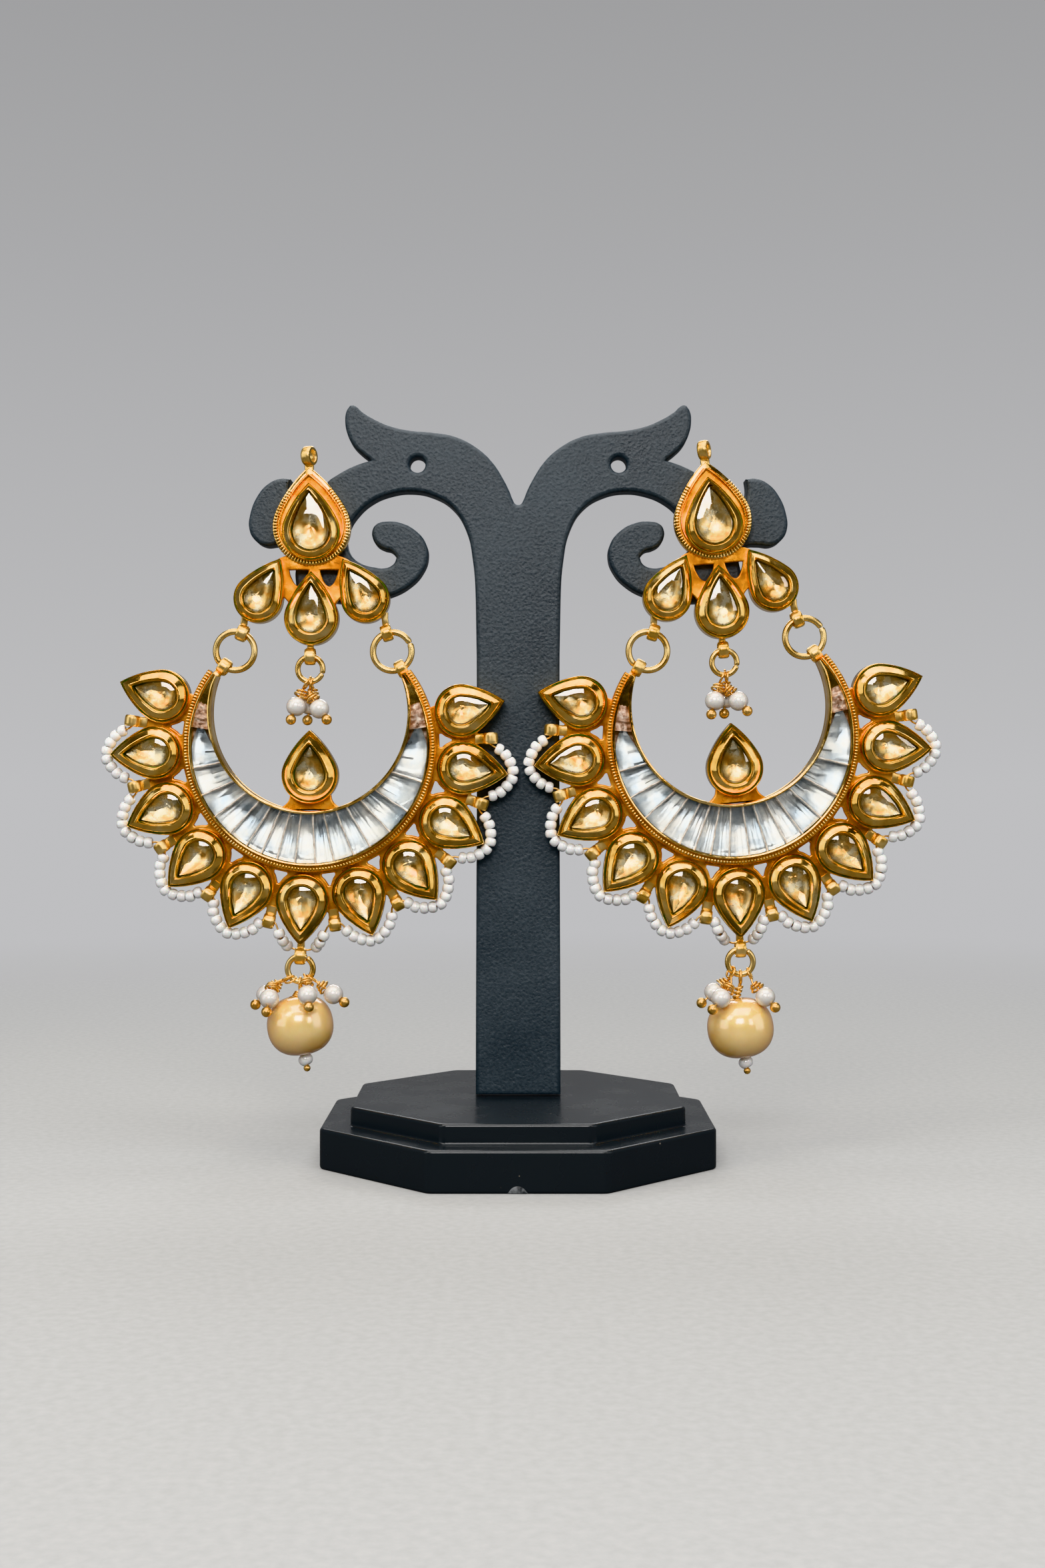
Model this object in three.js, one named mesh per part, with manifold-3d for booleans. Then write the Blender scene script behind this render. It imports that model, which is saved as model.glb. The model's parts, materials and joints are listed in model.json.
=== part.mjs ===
// A pair of chandbali earrings hanging on a twin-arm display stand.
//
// Millimetres, +Z up, fronts facing -Y, origin under the middle of the stand's base.
// Each earring is laid out in its own face frame and then stood up: x to the right,
// y up, z towards the viewer, with z = 0 at the back of the casting.

import * as THREE from "three";
import { mergeVertices } from "three/addons/utils/BufferGeometryUtils.js";
import Module from "manifold-3d";

const wasm = await Module();
wasm.setup();

// ------------------------------------------------------------------ driving dimensions

const BASE = {
  lowerFlats: 55.4,
  upperFlats: 47.1,
  edgeShare: 0.43,
  lowerTop: 5.7,
  upperTop: 8.4,
  wall: 2,
  notchWidth: 3.3,
  notchHeight: 1.3,
};

const PLATE = { thickness: 4, columnWidth: 12.3, foot: 8.7, eyeRadius: 1.15, eyeX: -14.6, eyeZ: 100 };

// Where the middle of each crescent's two horn eyelets hangs, and the turn of the whole earring.
const HANGS = {
  left: { x: -29.6, z: 70.4, turn: 0 },
  right: { x: 29.95, z: 71.4, turn: 5.2 },
};
const BACK_Y = -2.35;

// Pear-shaped cups: the outer wall, the opening inside its rim, and the stone, each given by
// the radius of its round end and the distance from that end's centre to the tip.
const CUPS = {
  petal: { radius: 3.85, tip: 6.25, openRadius: 2.6, openTip: 4.1, stoneRadius: 2.1, stoneTip: 3.4 },
  inner: { radius: 4.05, tip: 6.45, openRadius: 2.75, openTip: 4.35, stoneRadius: 2.2, stoneTip: 3.6 },
  centre: { radius: 3.9, tip: 6.7, openRadius: 2.65, openTip: 4.5, stoneRadius: 2.15, stoneTip: 3.7 },
  side: { radius: 3.5, tip: 6.6, openRadius: 2.4, openTip: 4.4, stoneRadius: 1.95, stoneTip: 3.7 },
  main: { radius: 4.0, tip: 6.4, openRadius: 3.13, openTip: 5.4, stoneRadius: 2.65, stoneTip: 4.8 },
};
// How far a pear's straight sides bulge, as a share of the distance to its tip.
const SIDE_FULLNESS = 0.07;
const CUP_LIP = 2.9;
const CUP_RIM = 3.6;
const CUP_FLOOR = 1.5;
const WEB_THICKNESS = 1.2;
const STONE = { bottom: 1.8, girdle: 2.4, table: 3.1, tableShare: 0.5 };

const TOP_PLATE = { radius: 5.6, tip: 8.7, thickness: 1.9, x: -0.1, y: 20.3, turn: 2.6 };
// The four cups of the top piece: place of the round end, and the turn of the tip from upright.
const TOP_CUPS = [
  { stone: "main_stone", cup: "main", x: -0.1, y: 19.5, turn: 2.6 },
  { stone: "top_stone_left", cup: "side", x: -7.7, y: 9.9, turn: -30 },
  { stone: "top_stone_centre", cup: "centre", x: -0.05, y: 7.1, turn: 0 },
  { stone: "top_stone_right", cup: "side", x: 7.7, y: 9.9, turn: 30 },
];
// The web between the plate and the lower cups: right-hand corners, and its two openings.
const TOP_WEB = {
  corners: [
    [5, 16.2],
    [8.2, 12.5],
    [4, 6],
  ],
  openingMiddles: [-2.15, 2.45],
  openingHalfWidth: 0.95,
  openingTop: 13.9,
  openingPoint: 12,
};
const BAIL = { x: -0.45, y: 30.45, outer: 1.45, hole: 0.85, width: 2 };
const POST = { x: -0.1, y: 20.3, radius: 0.45, end: -10 };
const NUT = { front: -4.65, flange: 0.9, length: 2.6, flangeRadius: 3, bossRadius: 1.7, bore: 0.75 };

const EYELET = { outer: 1.15, hole: 0.8, width: 1.3, depth: 1.3 };
// Solder necks: how far each reaches from its loop's centre, and its width.
const NECKS = {
  height: 0.9,
  drop: 0.3,
  bite: 0.12,
  bail: { reach: 2.6, width: 1.5 },
  centre: { reach: 2.2, width: 1.1 },
  link: { reach: 2.9, width: 1.1, lean: 8 },
  horn: { reach: 2.6, width: 1.2 },
  bead: { reach: 2.4, width: 1.3 },
  bottom: { reach: 2.8, width: 1.1 },
};
const HINGE_HEIGHT = 5.02;
const LINK = { meanRadius: 2.775, wire: 0.425 };
// Each link ring leans, so its lower eyelet is further out than the upper one.
const LINKS = {
  left: { topX: -10.07, topTurn: -21.8, lowTurn: 34.5 },
  right: { topX: 10.7, topTurn: 16.7, lowTurn: -27.5 },
};
const CENTRE_RING = { x: -0.3, top: 1.62, meanRadius: 1.8, wire: 0.35 };

const CRESCENT = { x: -0.26, y: -11.2, innerRadius: 14.1, innerRise: 4.7, hornAngle: 127 };
const TRAY = { rimOuter: 17.3, bedOuter: 16.9, edge: 18.1, rimWidth: 0.45, height: 4, rimHeight: 3.6 };
const TRAY_EDGE_HEIGHT = 3;
const TRAY_FLOOR = 1.6;
const STONE_END_ANGLE = 103;
// Angles of the joints between the tapered stones of the crescent, from its lowest point.
const STONE_JOINTS = [-79, -65, -53, -42, -32, -24, -16, -7, 3, 12, 22, 31, 43, 56, 72];

const PETALS = { count: 11, middle: -2.8, step: 21.15, centreRadius: 22.25 };
const WEB = { radius: 24.2, pastPetals: 5, openingNear: 18.6, openingFar: 20.2, openingHalfAngle: 2.6 };
const BEAD_EYELET = { radius: 25.9, outer: 0.95, hole: 0.58, width: 1.4 };
const BOTTOM_EYELET_RADIUS = 30.3;
const INNER_CUP_Y = -4.25;
// The flat bridge from the crescent's inner edge to the inner cup.
const BRIDGE = { width: 4.6, height: 2.6, y: -8.9 };
// Where the end eyelets' necks are soldered to the horns.
const HORN_SOLDER_ANGLE = 124;

const BEAD = { radius: 0.85, length: 1.25, waist: 0.4, threadRadius: 0.17, depth: 1.3, sides: 4 };
// The thread's loop round one petal: straight out of an eyelet, past the petal's shoulder, round
// its tip. At the bottom petal it passes behind the eyelet that carries the drop.
const BEAD_LOOP = {
  straight: 1.8,
  shoulderRadius: 27.9,
  shoulderShare: 0.57,
  tipRadius: 29.45,
  bottomTip: [
    [29.3, -3.4],
    [29.6, 0],
    [29.3, 3.4],
  ],
  bottomDepth: -0.25,
  bottomGap: 3.6,
  bareAtEyelets: 2.1,
  shortestThread: 0.3,
};
// Seed beads around the second to the tenth petal. The bottom eyelet parts the middle loop.
const BEAD_COUNTS = {
  left: [8, 8, 9, 9, 6, 8, 9, 8, 8],
  right: [8, 8, 9, 8, 8, 9, 9, 8, 8],
};

const DROP_RING = { meanRadius: 1.825, wire: 0.375 };
const DROP_PEARL = {
  width: 9.5,
  height: 8.5,
  pinTurn: 9,
  seedRadius: 1.05,
  ballRadius: 0.5,
  eyeRadius: 0.85,
  stemRadius: 0.32,
};
// From the drop ring's centre down to the big pearl's.
const DROP_LENGTHS = { left: 8.1, right: 9.5 };
// Small pearls of each cluster, from the centre of the ring that they hang on.
const CENTRE_CLUSTER = [
  { x: -1.95, y: -5.4, z: 0.7, ballX: -2.65, ballY: -7.3, ballZ: 1.1 },
  { x: 1.4, y: -5.75, z: 0.9, ballX: 2.5, ballY: -7.3, ballZ: 1.3 },
  { x: -0.2, y: -5.2, z: -1.6, ballX: -0.55, ballY: -7.3, ballZ: -1.2 },
];
const DROP_CLUSTERS = {
  left: {
    left: [
      { x: -4.1, y: -4.0, z: 2.6, ballX: -4.3, ballY: -5.7, ballZ: 4.1 },
      { x: -5.0, y: -3.8, z: -0.6, ballX: -6.5, ballY: -5.2, ballZ: -0.4 },
    ],
    right: [
      { x: 1.5, y: -3.3, z: 4.2, ballX: 1.8, ballY: -4.9, ballZ: 5.2 },
      { x: 4.9, y: -3.5, z: 1.4, ballX: 6.5, ballY: -4.6, ballZ: 1.8 },
    ],
  },
  right: {
    left: [
      { x: -3.1, y: -4.9, z: 3.0, ballX: -4.4, ballY: -6.4, ballZ: 3.9 },
      { x: -3.8, y: -4.4, z: 0.0, ballX: -5.6, ballY: -5.9, ballZ: 0.2 },
    ],
    right: [{ x: 3.3, y: -4.8, z: 2.2, ballX: 4.6, ballY: -6.2, ballZ: 3.0 }],
  },
};
const SMALL_PEARL_RADIUS = 1.4;
const SMALL_BALL_RADIUS = 0.75;
const WIRE_RADIUS = 0.22;
// The wire wraps at the top of each small pearl's pin, as a band round the ring.
const WRAPS = { outer: 0.95, hole: 0.6, widthEach: 0.3, stemSpacing: 0.25, stemRadius: 0.3 };
const CLUSTER_EYE_ANGLE = 42;

// ------------------------------------------------------------------ materials

const plating = { color: 0xe0a23a, roughness: 0.16, metalness: 1 };
const foiledStone = { color: 0xf0c79a, roughness: 0.08, metalness: 0.35 };
const clearStone = { color: 0xe4e2dc, roughness: 0.08, metalness: 0.35 };
const pearlWhite = { color: 0xefe6dc, roughness: 0.3, metalness: 0 };
const pearlGold = { color: 0xe3b56e, roughness: 0.3, metalness: 0 };
const slatePlastic = { color: 0x2a2f36, roughness: 0.6, metalness: 0 };
const blackPlastic = { color: 0x0d0e10, roughness: 0.35, metalness: 0 };

// ------------------------------------------------------------------ solids and meshes

/** A closed solid from a geometry, with its seams merged and its faces pointing out. */
function toSolid(geometry) {
  const bare = geometry.clone();
  bare.deleteAttribute("normal");
  bare.deleteAttribute("uv");
  const merged = mergeVertices(bare, 1e-4);
  const points = merged.attributes.position.array;
  const corners = merged.index.array;
  const kept = [];
  let volume = 0;
  for (let i = 0; i < corners.length; i += 3) {
    const [a, b, c] = corners.slice(i, i + 3);
    if (a !== b && b !== c && a !== c) {
      kept.push(a, b, c);
      const [pa, pb, pc] = [a, b, c].map((k) => new THREE.Vector3().fromArray(points, 3 * k));
      volume += pa.dot(pb.cross(pc));
    }
  }
  if (volume < 0) {
    kept.reverse();
  }
  const triVerts = Uint32Array.from(kept);
  return new wasm.Manifold(new wasm.Mesh({ numProp: 3, vertProperties: points, triVerts }));
}

/** Joins solids into one, as soldering does. */
function join(solids) {
  return solids.reduce((whole, piece) => whole.add(piece));
}

/** A named mesh for one piece. */
function piece(name, solid, finish) {
  const { vertProperties, triVerts } = solid.getMesh();
  const geometry = new THREE.BufferGeometry();
  geometry.setAttribute("position", new THREE.BufferAttribute(vertProperties, 3));
  geometry.setIndex(new THREE.BufferAttribute(triVerts, 1));
  geometry.computeVertexNormals();
  const mesh = new THREE.Mesh(geometry, new THREE.MeshStandardMaterial(finish));
  mesh.name = name;
  return mesh;
}

/** A closed skin through rings of points. Each ring runs anticlockwise seen from the next. */
function loft(rings, capProfile = null) {
  const count = rings[0].length;
  const positions = rings.flat().flatMap((point) => point.toArray());
  const index = [];
  for (let ring = 0; ring + 1 < rings.length; ring += 1) {
    for (let i = 0; i < count; i += 1) {
      const a = ring * count + i;
      const b = ring * count + ((i + 1) % count);
      index.push(a, b, b + count, a, b + count, a + count);
    }
  }
  const last = (rings.length - 1) * count;
  const outline = capProfile ?? rings[0].map((point) => new THREE.Vector2(point.x, point.y));
  for (const [a, b, c] of THREE.ShapeUtils.triangulateShape(outline, [])) {
    index.push(a, c, b, last + a, last + b, last + c);
  }
  const geometry = new THREE.BufferGeometry();
  geometry.setAttribute("position", new THREE.Float32BufferAttribute(positions, 3));
  geometry.setIndex(index);
  return geometry;
}

/** A prism of a flat outline, from one depth to another. */
function prism(points, from, to) {
  const shape = new THREE.Shape(points);
  const depth = to - from;
  return new THREE.ExtrudeGeometry(shape, { depth, bevelEnabled: false }).translate(0, 0, from);
}

/** A round rod between two points. */
function rod(from, to, radius, sides = 4) {
  const along = to.clone().sub(from);
  const geometry = new THREE.CylinderGeometry(radius, radius, along.length(), sides);
  const turn = new THREE.Quaternion().setFromUnitVectors(
    new THREE.Vector3(0, 1, 0),
    along.clone().normalize(),
  );
  const middle = from.clone().add(to).multiplyScalar(0.5);
  return geometry.applyQuaternion(turn).translate(middle.x, middle.y, middle.z);
}

function radians(degrees) {
  return THREE.MathUtils.degToRad(degrees);
}

/** A point of the crescent's round, at an angle from its lowest point, positive to the right. */
function onRound(radius, degrees, depth = 0) {
  const angle = radians(degrees);
  return new THREE.Vector3(radius * Math.sin(angle), -radius * Math.cos(angle), depth);
}

// ------------------------------------------------------------------ pear shapes

/** Outline of a pear: a round end about the origin and slightly full sides up to a tip. */
function teardrop(radius, tip, arcSteps) {
  const shoulder = Math.acos(radius / tip);
  const apex = new THREE.Vector2(0, tip);
  const outward = new THREE.Vector2(-Math.sin(shoulder), Math.cos(shoulder));
  const joint = outward.clone().multiplyScalar(radius);
  const middle = apex.clone().add(joint).multiplyScalar(0.5);
  const control = middle.addScaledVector(outward, SIDE_FULLNESS * tip);
  const side = new THREE.QuadraticBezierCurve(apex, control, joint).getPoints(2);
  const sweep = 2 * (Math.PI - shoulder);
  const arc = [];
  for (let step = 1; step < arcSteps; step += 1) {
    const angle = shoulder + (sweep * step) / arcSteps;
    arc.push(new THREE.Vector2(-Math.sin(angle), Math.cos(angle)).multiplyScalar(radius));
  }
  const otherSide = side.slice(1).map((point) => new THREE.Vector2(-point.x, point.y));
  return [...side, ...arc, ...otherSide.reverse()];
}

function ringAt(outline, depth) {
  return outline.map((point) => new THREE.Vector3(point.x, point.y, depth));
}

/** A stone's cup: a plain wall, a rim that rises to the opening, and a pocket. */
function stoneCup(cup, x, y, degrees) {
  const wall = teardrop(cup.radius, cup.tip, 6);
  const opening = teardrop(cup.openRadius, cup.openTip, 6);
  const rings = [
    ringAt(wall, 0),
    ringAt(wall, CUP_LIP),
    ringAt(opening, CUP_RIM),
    ringAt(opening, CUP_FLOOR),
  ];
  return toSolid(loft(rings).rotateZ(radians(degrees)).translate(x, y, 0));
}

/** A pear-cut stone with a flat table. */
function pearStone(cup, x, y, degrees) {
  const girdle = teardrop(cup.stoneRadius, cup.stoneTip, 4);
  const table = girdle.map((point) => point.clone().multiplyScalar(STONE.tableShare));
  const rings = [ringAt(girdle, STONE.bottom), ringAt(girdle, STONE.girdle), ringAt(table, STONE.table)];
  return toSolid(loft(rings).rotateZ(radians(degrees)).translate(x, y, 0));
}

// ------------------------------------------------------------------ eyelets and rings

/** A strip bent into a loop, with its hole along the local x axis before it is turned. */
function stripLoop({ outer, hole, width }, x, y, depth, degrees) {
  const half = width / 2;
  const section = [
    [hole, -half],
    [outer, -half],
    [outer, half],
    [hole, half],
    [hole, -half],
  ].map(([radius, height]) => new THREE.Vector2(radius, height));
  const loop = new THREE.LatheGeometry(section, 6);
  return toSolid(loop.rotateZ(Math.PI / 2).rotateZ(radians(degrees)).translate(x, y, depth));
}

/** The solder neck from a strip loop to the metal beside it, as a block along one direction. */
function neck(loop, x, y, depth, degrees, { reach, width }) {
  const start = loop.hole + NECKS.bite;
  const block = new THREE.BoxGeometry(width, reach - start, NECKS.height);
  block.translate(0, (reach + start) / 2, depth - NECKS.drop);
  block.rotateZ(radians(degrees));
  return toSolid(block.translate(x, y, 0));
}

function wireRing(meanRadius, wire, steps = 12) {
  return toSolid(new THREE.TorusGeometry(meanRadius, wire, 5, steps));
}

/** Where a link ring's centre and its two eyelets lie. */
function linkLayout(side) {
  const { topX, topTurn, lowTurn } = LINKS[side];
  const top = new THREE.Vector3(topX, HINGE_HEIGHT, EYELET.depth);
  const inwards = new THREE.Vector3(Math.sin(radians(topTurn)), -Math.cos(radians(topTurn)), 0);
  const centre = top.clone().addScaledVector(inwards, LINK.meanRadius);
  const outwards = new THREE.Vector3(-Math.sin(radians(lowTurn)), -Math.cos(radians(lowTurn)), 0);
  const low = centre.clone().addScaledVector(outwards, LINK.meanRadius);
  return { top, centre, low, topTurn, lowTurn };
}

// ------------------------------------------------------------------ top piece

/** The soldered top piece: pear plate, four cups, web, bail, eyelets and ear post. */
function topFrame() {
  const plate = teardrop(TOP_PLATE.radius, TOP_PLATE.tip, 12);
  const plateBody = loft([ringAt(plate, 0), ringAt(plate, TOP_PLATE.thickness)]);
  plateBody.rotateZ(radians(TOP_PLATE.turn)).translate(TOP_PLATE.x, TOP_PLATE.y, 0);
  let frame = toSolid(plateBody);

  const webHalf = TOP_WEB.corners.map(([x, y]) => new THREE.Vector2(x, y));
  const mirrored = webHalf.map((point) => new THREE.Vector2(-point.x, point.y)).reverse();
  let web = toSolid(prism([...mirrored, ...webHalf], 0, WEB_THICKNESS));
  const { openingMiddles, openingHalfWidth, openingTop, openingPoint } = TOP_WEB;
  for (const middle of openingMiddles) {
    const opening = [
      new THREE.Vector2(middle - openingHalfWidth, openingTop),
      new THREE.Vector2(middle, openingPoint),
      new THREE.Vector2(middle + openingHalfWidth, openingTop),
    ];
    web = web.subtract(toSolid(prism(opening, -1, WEB_THICKNESS + 1)));
  }
  frame = frame.add(web);

  // The cups are soldered on, and the plate is cut away inside the main cup's pocket.
  const main = TOP_CUPS[0];
  const pocket = teardrop(CUPS.main.openRadius, CUPS.main.openTip, 6);
  const pocketBody = loft([ringAt(pocket, CUP_FLOOR), ringAt(pocket, CUP_RIM + 1)]);
  pocketBody.rotateZ(radians(main.turn)).translate(main.x, main.y, 0);
  for (const { cup, x, y, turn } of TOP_CUPS) {
    frame = frame.add(stoneCup(CUPS[cup], x, y, turn));
  }
  frame = frame.subtract(toSolid(pocketBody));

  const centreEyeletY = CENTRE_RING.top;
  const links = ["left", "right"].map(linkLayout);
  frame = join([
    frame,
    stripLoop(BAIL, BAIL.x, BAIL.y, BAIL.outer, 0),
    neck(BAIL, BAIL.x, BAIL.y, BAIL.outer, 180, NECKS.bail),
    stripLoop(EYELET, CENTRE_RING.x, centreEyeletY, EYELET.depth, 0),
    neck(EYELET, CENTRE_RING.x, centreEyeletY, EYELET.depth, 0, NECKS.centre),
    ...links.map(({ top, topTurn }) => stripLoop(EYELET, top.x, top.y, top.z, topTurn)),
    ...links.map(({ top }) => {
      const lean = Math.sign(top.x) * NECKS.link.lean;
      return neck(EYELET, top.x, top.y, top.z, lean, NECKS.link);
    }),
  ]);

  const postStart = new THREE.Vector3(POST.x, POST.y, 0.5);
  const postEnd = new THREE.Vector3(POST.x, POST.y, POST.end);
  return frame.add(toSolid(rod(postStart, postEnd, POST.radius, 10)));
}

/** The plain nut pushed on the ear post behind the stand. */
function earNut() {
  const { front, flange, length, flangeRadius, bossRadius, bore } = NUT;
  const section = [
    [bore, 0],
    [flangeRadius, 0],
    [flangeRadius, flange],
    [bossRadius, flange],
    [bossRadius, length],
    [bore, length],
    [bore, 0],
  ].map(([radius, height]) => new THREE.Vector2(radius, height));
  const body = new THREE.LatheGeometry(section, 14);
  return toSolid(body.rotateX(-Math.PI / 2).translate(POST.x, POST.y, front));
}

// ------------------------------------------------------------------ small pearl clusters

/** Small pearls on wires whose wrapped eyes, as one band, hang on a ring at an angle. */
function pearlCluster(pearls, ringRadius, eyeAngle) {
  const wraps = { outer: WRAPS.outer, hole: WRAPS.hole, width: WRAPS.widthEach * pearls.length };
  const place = onRound(ringRadius, eyeAngle);
  const solids = [stripLoop(wraps, place.x, place.y, 0, eyeAngle)];
  const alongRing = new THREE.Vector3(-place.y, place.x, 0).normalize();
  const inWall = (wraps.outer + wraps.hole) / 2;
  pearls.forEach((pearl, order) => {
    const centre = new THREE.Vector3(pearl.x, pearl.y, pearl.z);
    const ball = new THREE.Vector3(pearl.ballX, pearl.ballY, pearl.ballZ);
    const side = new THREE.Vector2(place.y - pearl.y, pearl.z).normalize().multiplyScalar(inWall);
    const start = onRound(ringRadius + side.x, eyeAngle, side.y);
    start.addScaledVector(alongRing, (order - (pearls.length - 1) / 2) * WRAPS.stemSpacing);
    const smallPearl = new THREE.SphereGeometry(SMALL_PEARL_RADIUS, 7, 5);
    const endBall = new THREE.SphereGeometry(SMALL_BALL_RADIUS, 5, 3);
    solids.push(toSolid(rod(start, centre, WRAPS.stemRadius)));
    solids.push(toSolid(smallPearl.translate(...centre.toArray())));
    solids.push(toSolid(rod(centre, ball, WIRE_RADIUS)));
    solids.push(toSolid(endBall.translate(...ball.toArray())));
  });
  return join(solids);
}

// ------------------------------------------------------------------ crescent

/** Distance from the crescent's centre to its inner edge, at an angle from the lowest point. */
function innerEdge(degrees) {
  const shift = -CRESCENT.innerRise * Math.cos(radians(degrees));
  const square = shift ** 2 + CRESCENT.innerRadius ** 2 - CRESCENT.innerRise ** 2;
  return shift + Math.sqrt(square);
}

/** The channel that holds the clear stones, as one section carried round the crescent. */
function crescentTray() {
  const steps = 26;
  const solidTips = STONE_END_ANGLE + 8;
  const tipDip = 0.4;
  const rings = [];
  let profile = null;
  for (let step = 0; step <= steps; step += 1) {
    const angle = -CRESCENT.hornAngle + (2 * CRESCENT.hornAngle * step) / steps;
    const inner = innerEdge(angle);
    const rim = Math.min(TRAY.rimWidth, (TRAY.bedOuter - inner) / 2);
    const floor = Math.abs(angle) < solidTips ? TRAY_FLOOR : TRAY.rimHeight - tipDip;
    profile = [
      [inner, 0],
      [inner, TRAY.height],
      [inner + rim, TRAY.height],
      [inner + rim + 0.01, floor],
      [TRAY.bedOuter, floor],
      [TRAY.bedOuter, TRAY.rimHeight],
      [TRAY.rimOuter, TRAY.rimHeight],
      [TRAY.rimOuter, TRAY_EDGE_HEIGHT],
      [TRAY.edge, TRAY_EDGE_HEIGHT],
      [TRAY.edge, 0],
    ];
    rings.push(profile.map(([radius, depth]) => onRound(radius, angle, depth)));
  }
  const cap = profile.map(([radius, depth]) => new THREE.Vector2(depth, radius));
  return toSolid(loft(rings, cap));
}

function petalAngle(order) {
  return PETALS.middle + (order - (PETALS.count - 1) / 2) * PETALS.step;
}

/** The soldered crescent: channel, web, eleven petal cups, inner cup and all its eyelets. */
function crescentFrame() {
  const first = petalAngle(0) - WEB.pastPetals;
  const last = petalAngle(PETALS.count - 1) + WEB.pastPetals;
  const webOutline = [];
  const webSteps = 24;
  for (let step = 0; step <= webSteps; step += 1) {
    webOutline.push(onRound(WEB.radius, first + ((last - first) * step) / webSteps));
  }
  for (let step = webSteps; step >= 0; step -= 1) {
    webOutline.push(onRound(TRAY.bedOuter + 0.5, first + ((last - first) * step) / webSteps));
  }
  let web = toSolid(prism(webOutline, 0, WEB_THICKNESS));
  for (let gap = 0; gap + 1 < PETALS.count; gap += 1) {
    const angle = petalAngle(gap) + PETALS.step / 2;
    const corners = [
      onRound(WEB.openingNear, angle + WEB.openingHalfAngle),
      onRound(WEB.openingFar, angle),
      onRound(WEB.openingNear, angle - WEB.openingHalfAngle),
    ];
    web = web.subtract(toSolid(prism(corners, -1, WEB_THICKNESS + 1)));
  }

  const parts = [web, crescentTray()];
  for (let order = 0; order < PETALS.count; order += 1) {
    const angle = petalAngle(order);
    const centre = onRound(PETALS.centreRadius, angle);
    parts.push(stoneCup(CUPS.petal, centre.x, centre.y, 180 + angle));
  }
  for (let gap = 0; gap + 1 < PETALS.count; gap += 1) {
    const angle = petalAngle(gap) + PETALS.step / 2;
    const place = onRound(BEAD_EYELET.radius, angle, BEAD.depth);
    parts.push(stripLoop(BEAD_EYELET, place.x, place.y, place.z, angle));
    parts.push(neck(BEAD_EYELET, place.x, place.y, place.z, angle, NECKS.bead));
  }
  const bottom = onRound(BOTTOM_EYELET_RADIUS, PETALS.middle, EYELET.depth);
  parts.push(stripLoop(EYELET, bottom.x, bottom.y, bottom.z, PETALS.middle));
  parts.push(neck(EYELET, bottom.x, bottom.y, bottom.z, PETALS.middle, NECKS.bottom));

  const bridge = new THREE.BoxGeometry(BRIDGE.width, BRIDGE.height, WEB_THICKNESS);
  parts.push(toSolid(bridge.translate(0, BRIDGE.y, WEB_THICKNESS / 2)));
  parts.push(stoneCup(CUPS.inner, 0, INNER_CUP_Y, 0));

  for (const side of ["left", "right"]) {
    const { low, lowTurn } = linkLayout(side);
    const x = low.x - CRESCENT.x;
    const y = low.y - CRESCENT.y;
    parts.push(stripLoop(EYELET, x, y, low.z, -lowTurn));
    const hornRadius = (innerEdge(HORN_SOLDER_ANGLE) + TRAY.edge) / 2;
    const horn = onRound(hornRadius, side === "left" ? -HORN_SOLDER_ANGLE : HORN_SOLDER_ANGLE);
    const towardsHorn = (Math.atan2(x - horn.x, horn.y - y) * 180) / Math.PI;
    parts.push(neck(EYELET, x, y, low.z, towardsHorn, NECKS.horn));
  }
  return join(parts);
}

/** All the tapered clear stones of the crescent, touching edge to edge along the channel. */
function crescentStones() {
  const clearance = 0.25;
  const bevel = 1.2;
  const longestFacet = 9;
  const edges = [-STONE_END_ANGLE, ...STONE_JOINTS, STONE_END_ANGLE];
  const stations = [{ angle: edges[0], height: STONE.girdle }];
  for (let order = 0; order + 1 < edges.length; order += 1) {
    const start = edges[order] + bevel;
    const end = edges[order + 1] - bevel;
    const facets = Math.ceil((end - start) / longestFacet);
    for (let facet = 0; facet <= facets; facet += 1) {
      stations.push({ angle: start + ((end - start) * facet) / facets, height: STONE.table });
    }
    stations.push({ angle: edges[order + 1], height: STONE.girdle + 0.3 });
  }
  let profile = null;
  const rings = stations.map(({ angle, height }) => {
    const inner = innerEdge(angle) + TRAY.rimWidth + clearance;
    const outer = TRAY.bedOuter - clearance;
    const bottom = TRAY_FLOOR + clearance;
    profile = [
      [inner, bottom],
      [inner, height],
      [outer, height],
      [outer, bottom],
    ];
    return profile.map(([radius, depth]) => onRound(radius, angle, depth));
  });
  const cap = profile.map(([radius, depth]) => new THREE.Vector2(depth, radius));
  return toSolid(loft(rings, cap));
}

// ------------------------------------------------------------------ bead fringe

/** Route of the thread round one petal, from eyelet to eyelet, in the crescent's frame. */
function beadRoute(angle, atBottom) {
  const { straight, shoulderRadius, shoulderShare, tipRadius, bottomTip, bottomDepth } = BEAD_LOOP;
  const half = PETALS.step / 2;
  const tip = atBottom
    ? bottomTip.map(([radius, offset]) => onRound(radius, angle + offset, bottomDepth))
    : [onRound(tipRadius, angle, BEAD.depth)];
  const points = [
    onRound(BEAD_EYELET.radius, angle - half, BEAD.depth),
    onRound(BEAD_EYELET.radius, angle - half + straight, BEAD.depth),
    onRound(shoulderRadius, angle - half * shoulderShare, BEAD.depth),
    ...tip,
    onRound(shoulderRadius, angle + half * shoulderShare, BEAD.depth),
    onRound(BEAD_EYELET.radius, angle + half - straight, BEAD.depth),
    onRound(BEAD_EYELET.radius, angle + half, BEAD.depth),
  ];
  return new THREE.CatmullRomCurve3(points, false, "centripetal");
}

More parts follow.
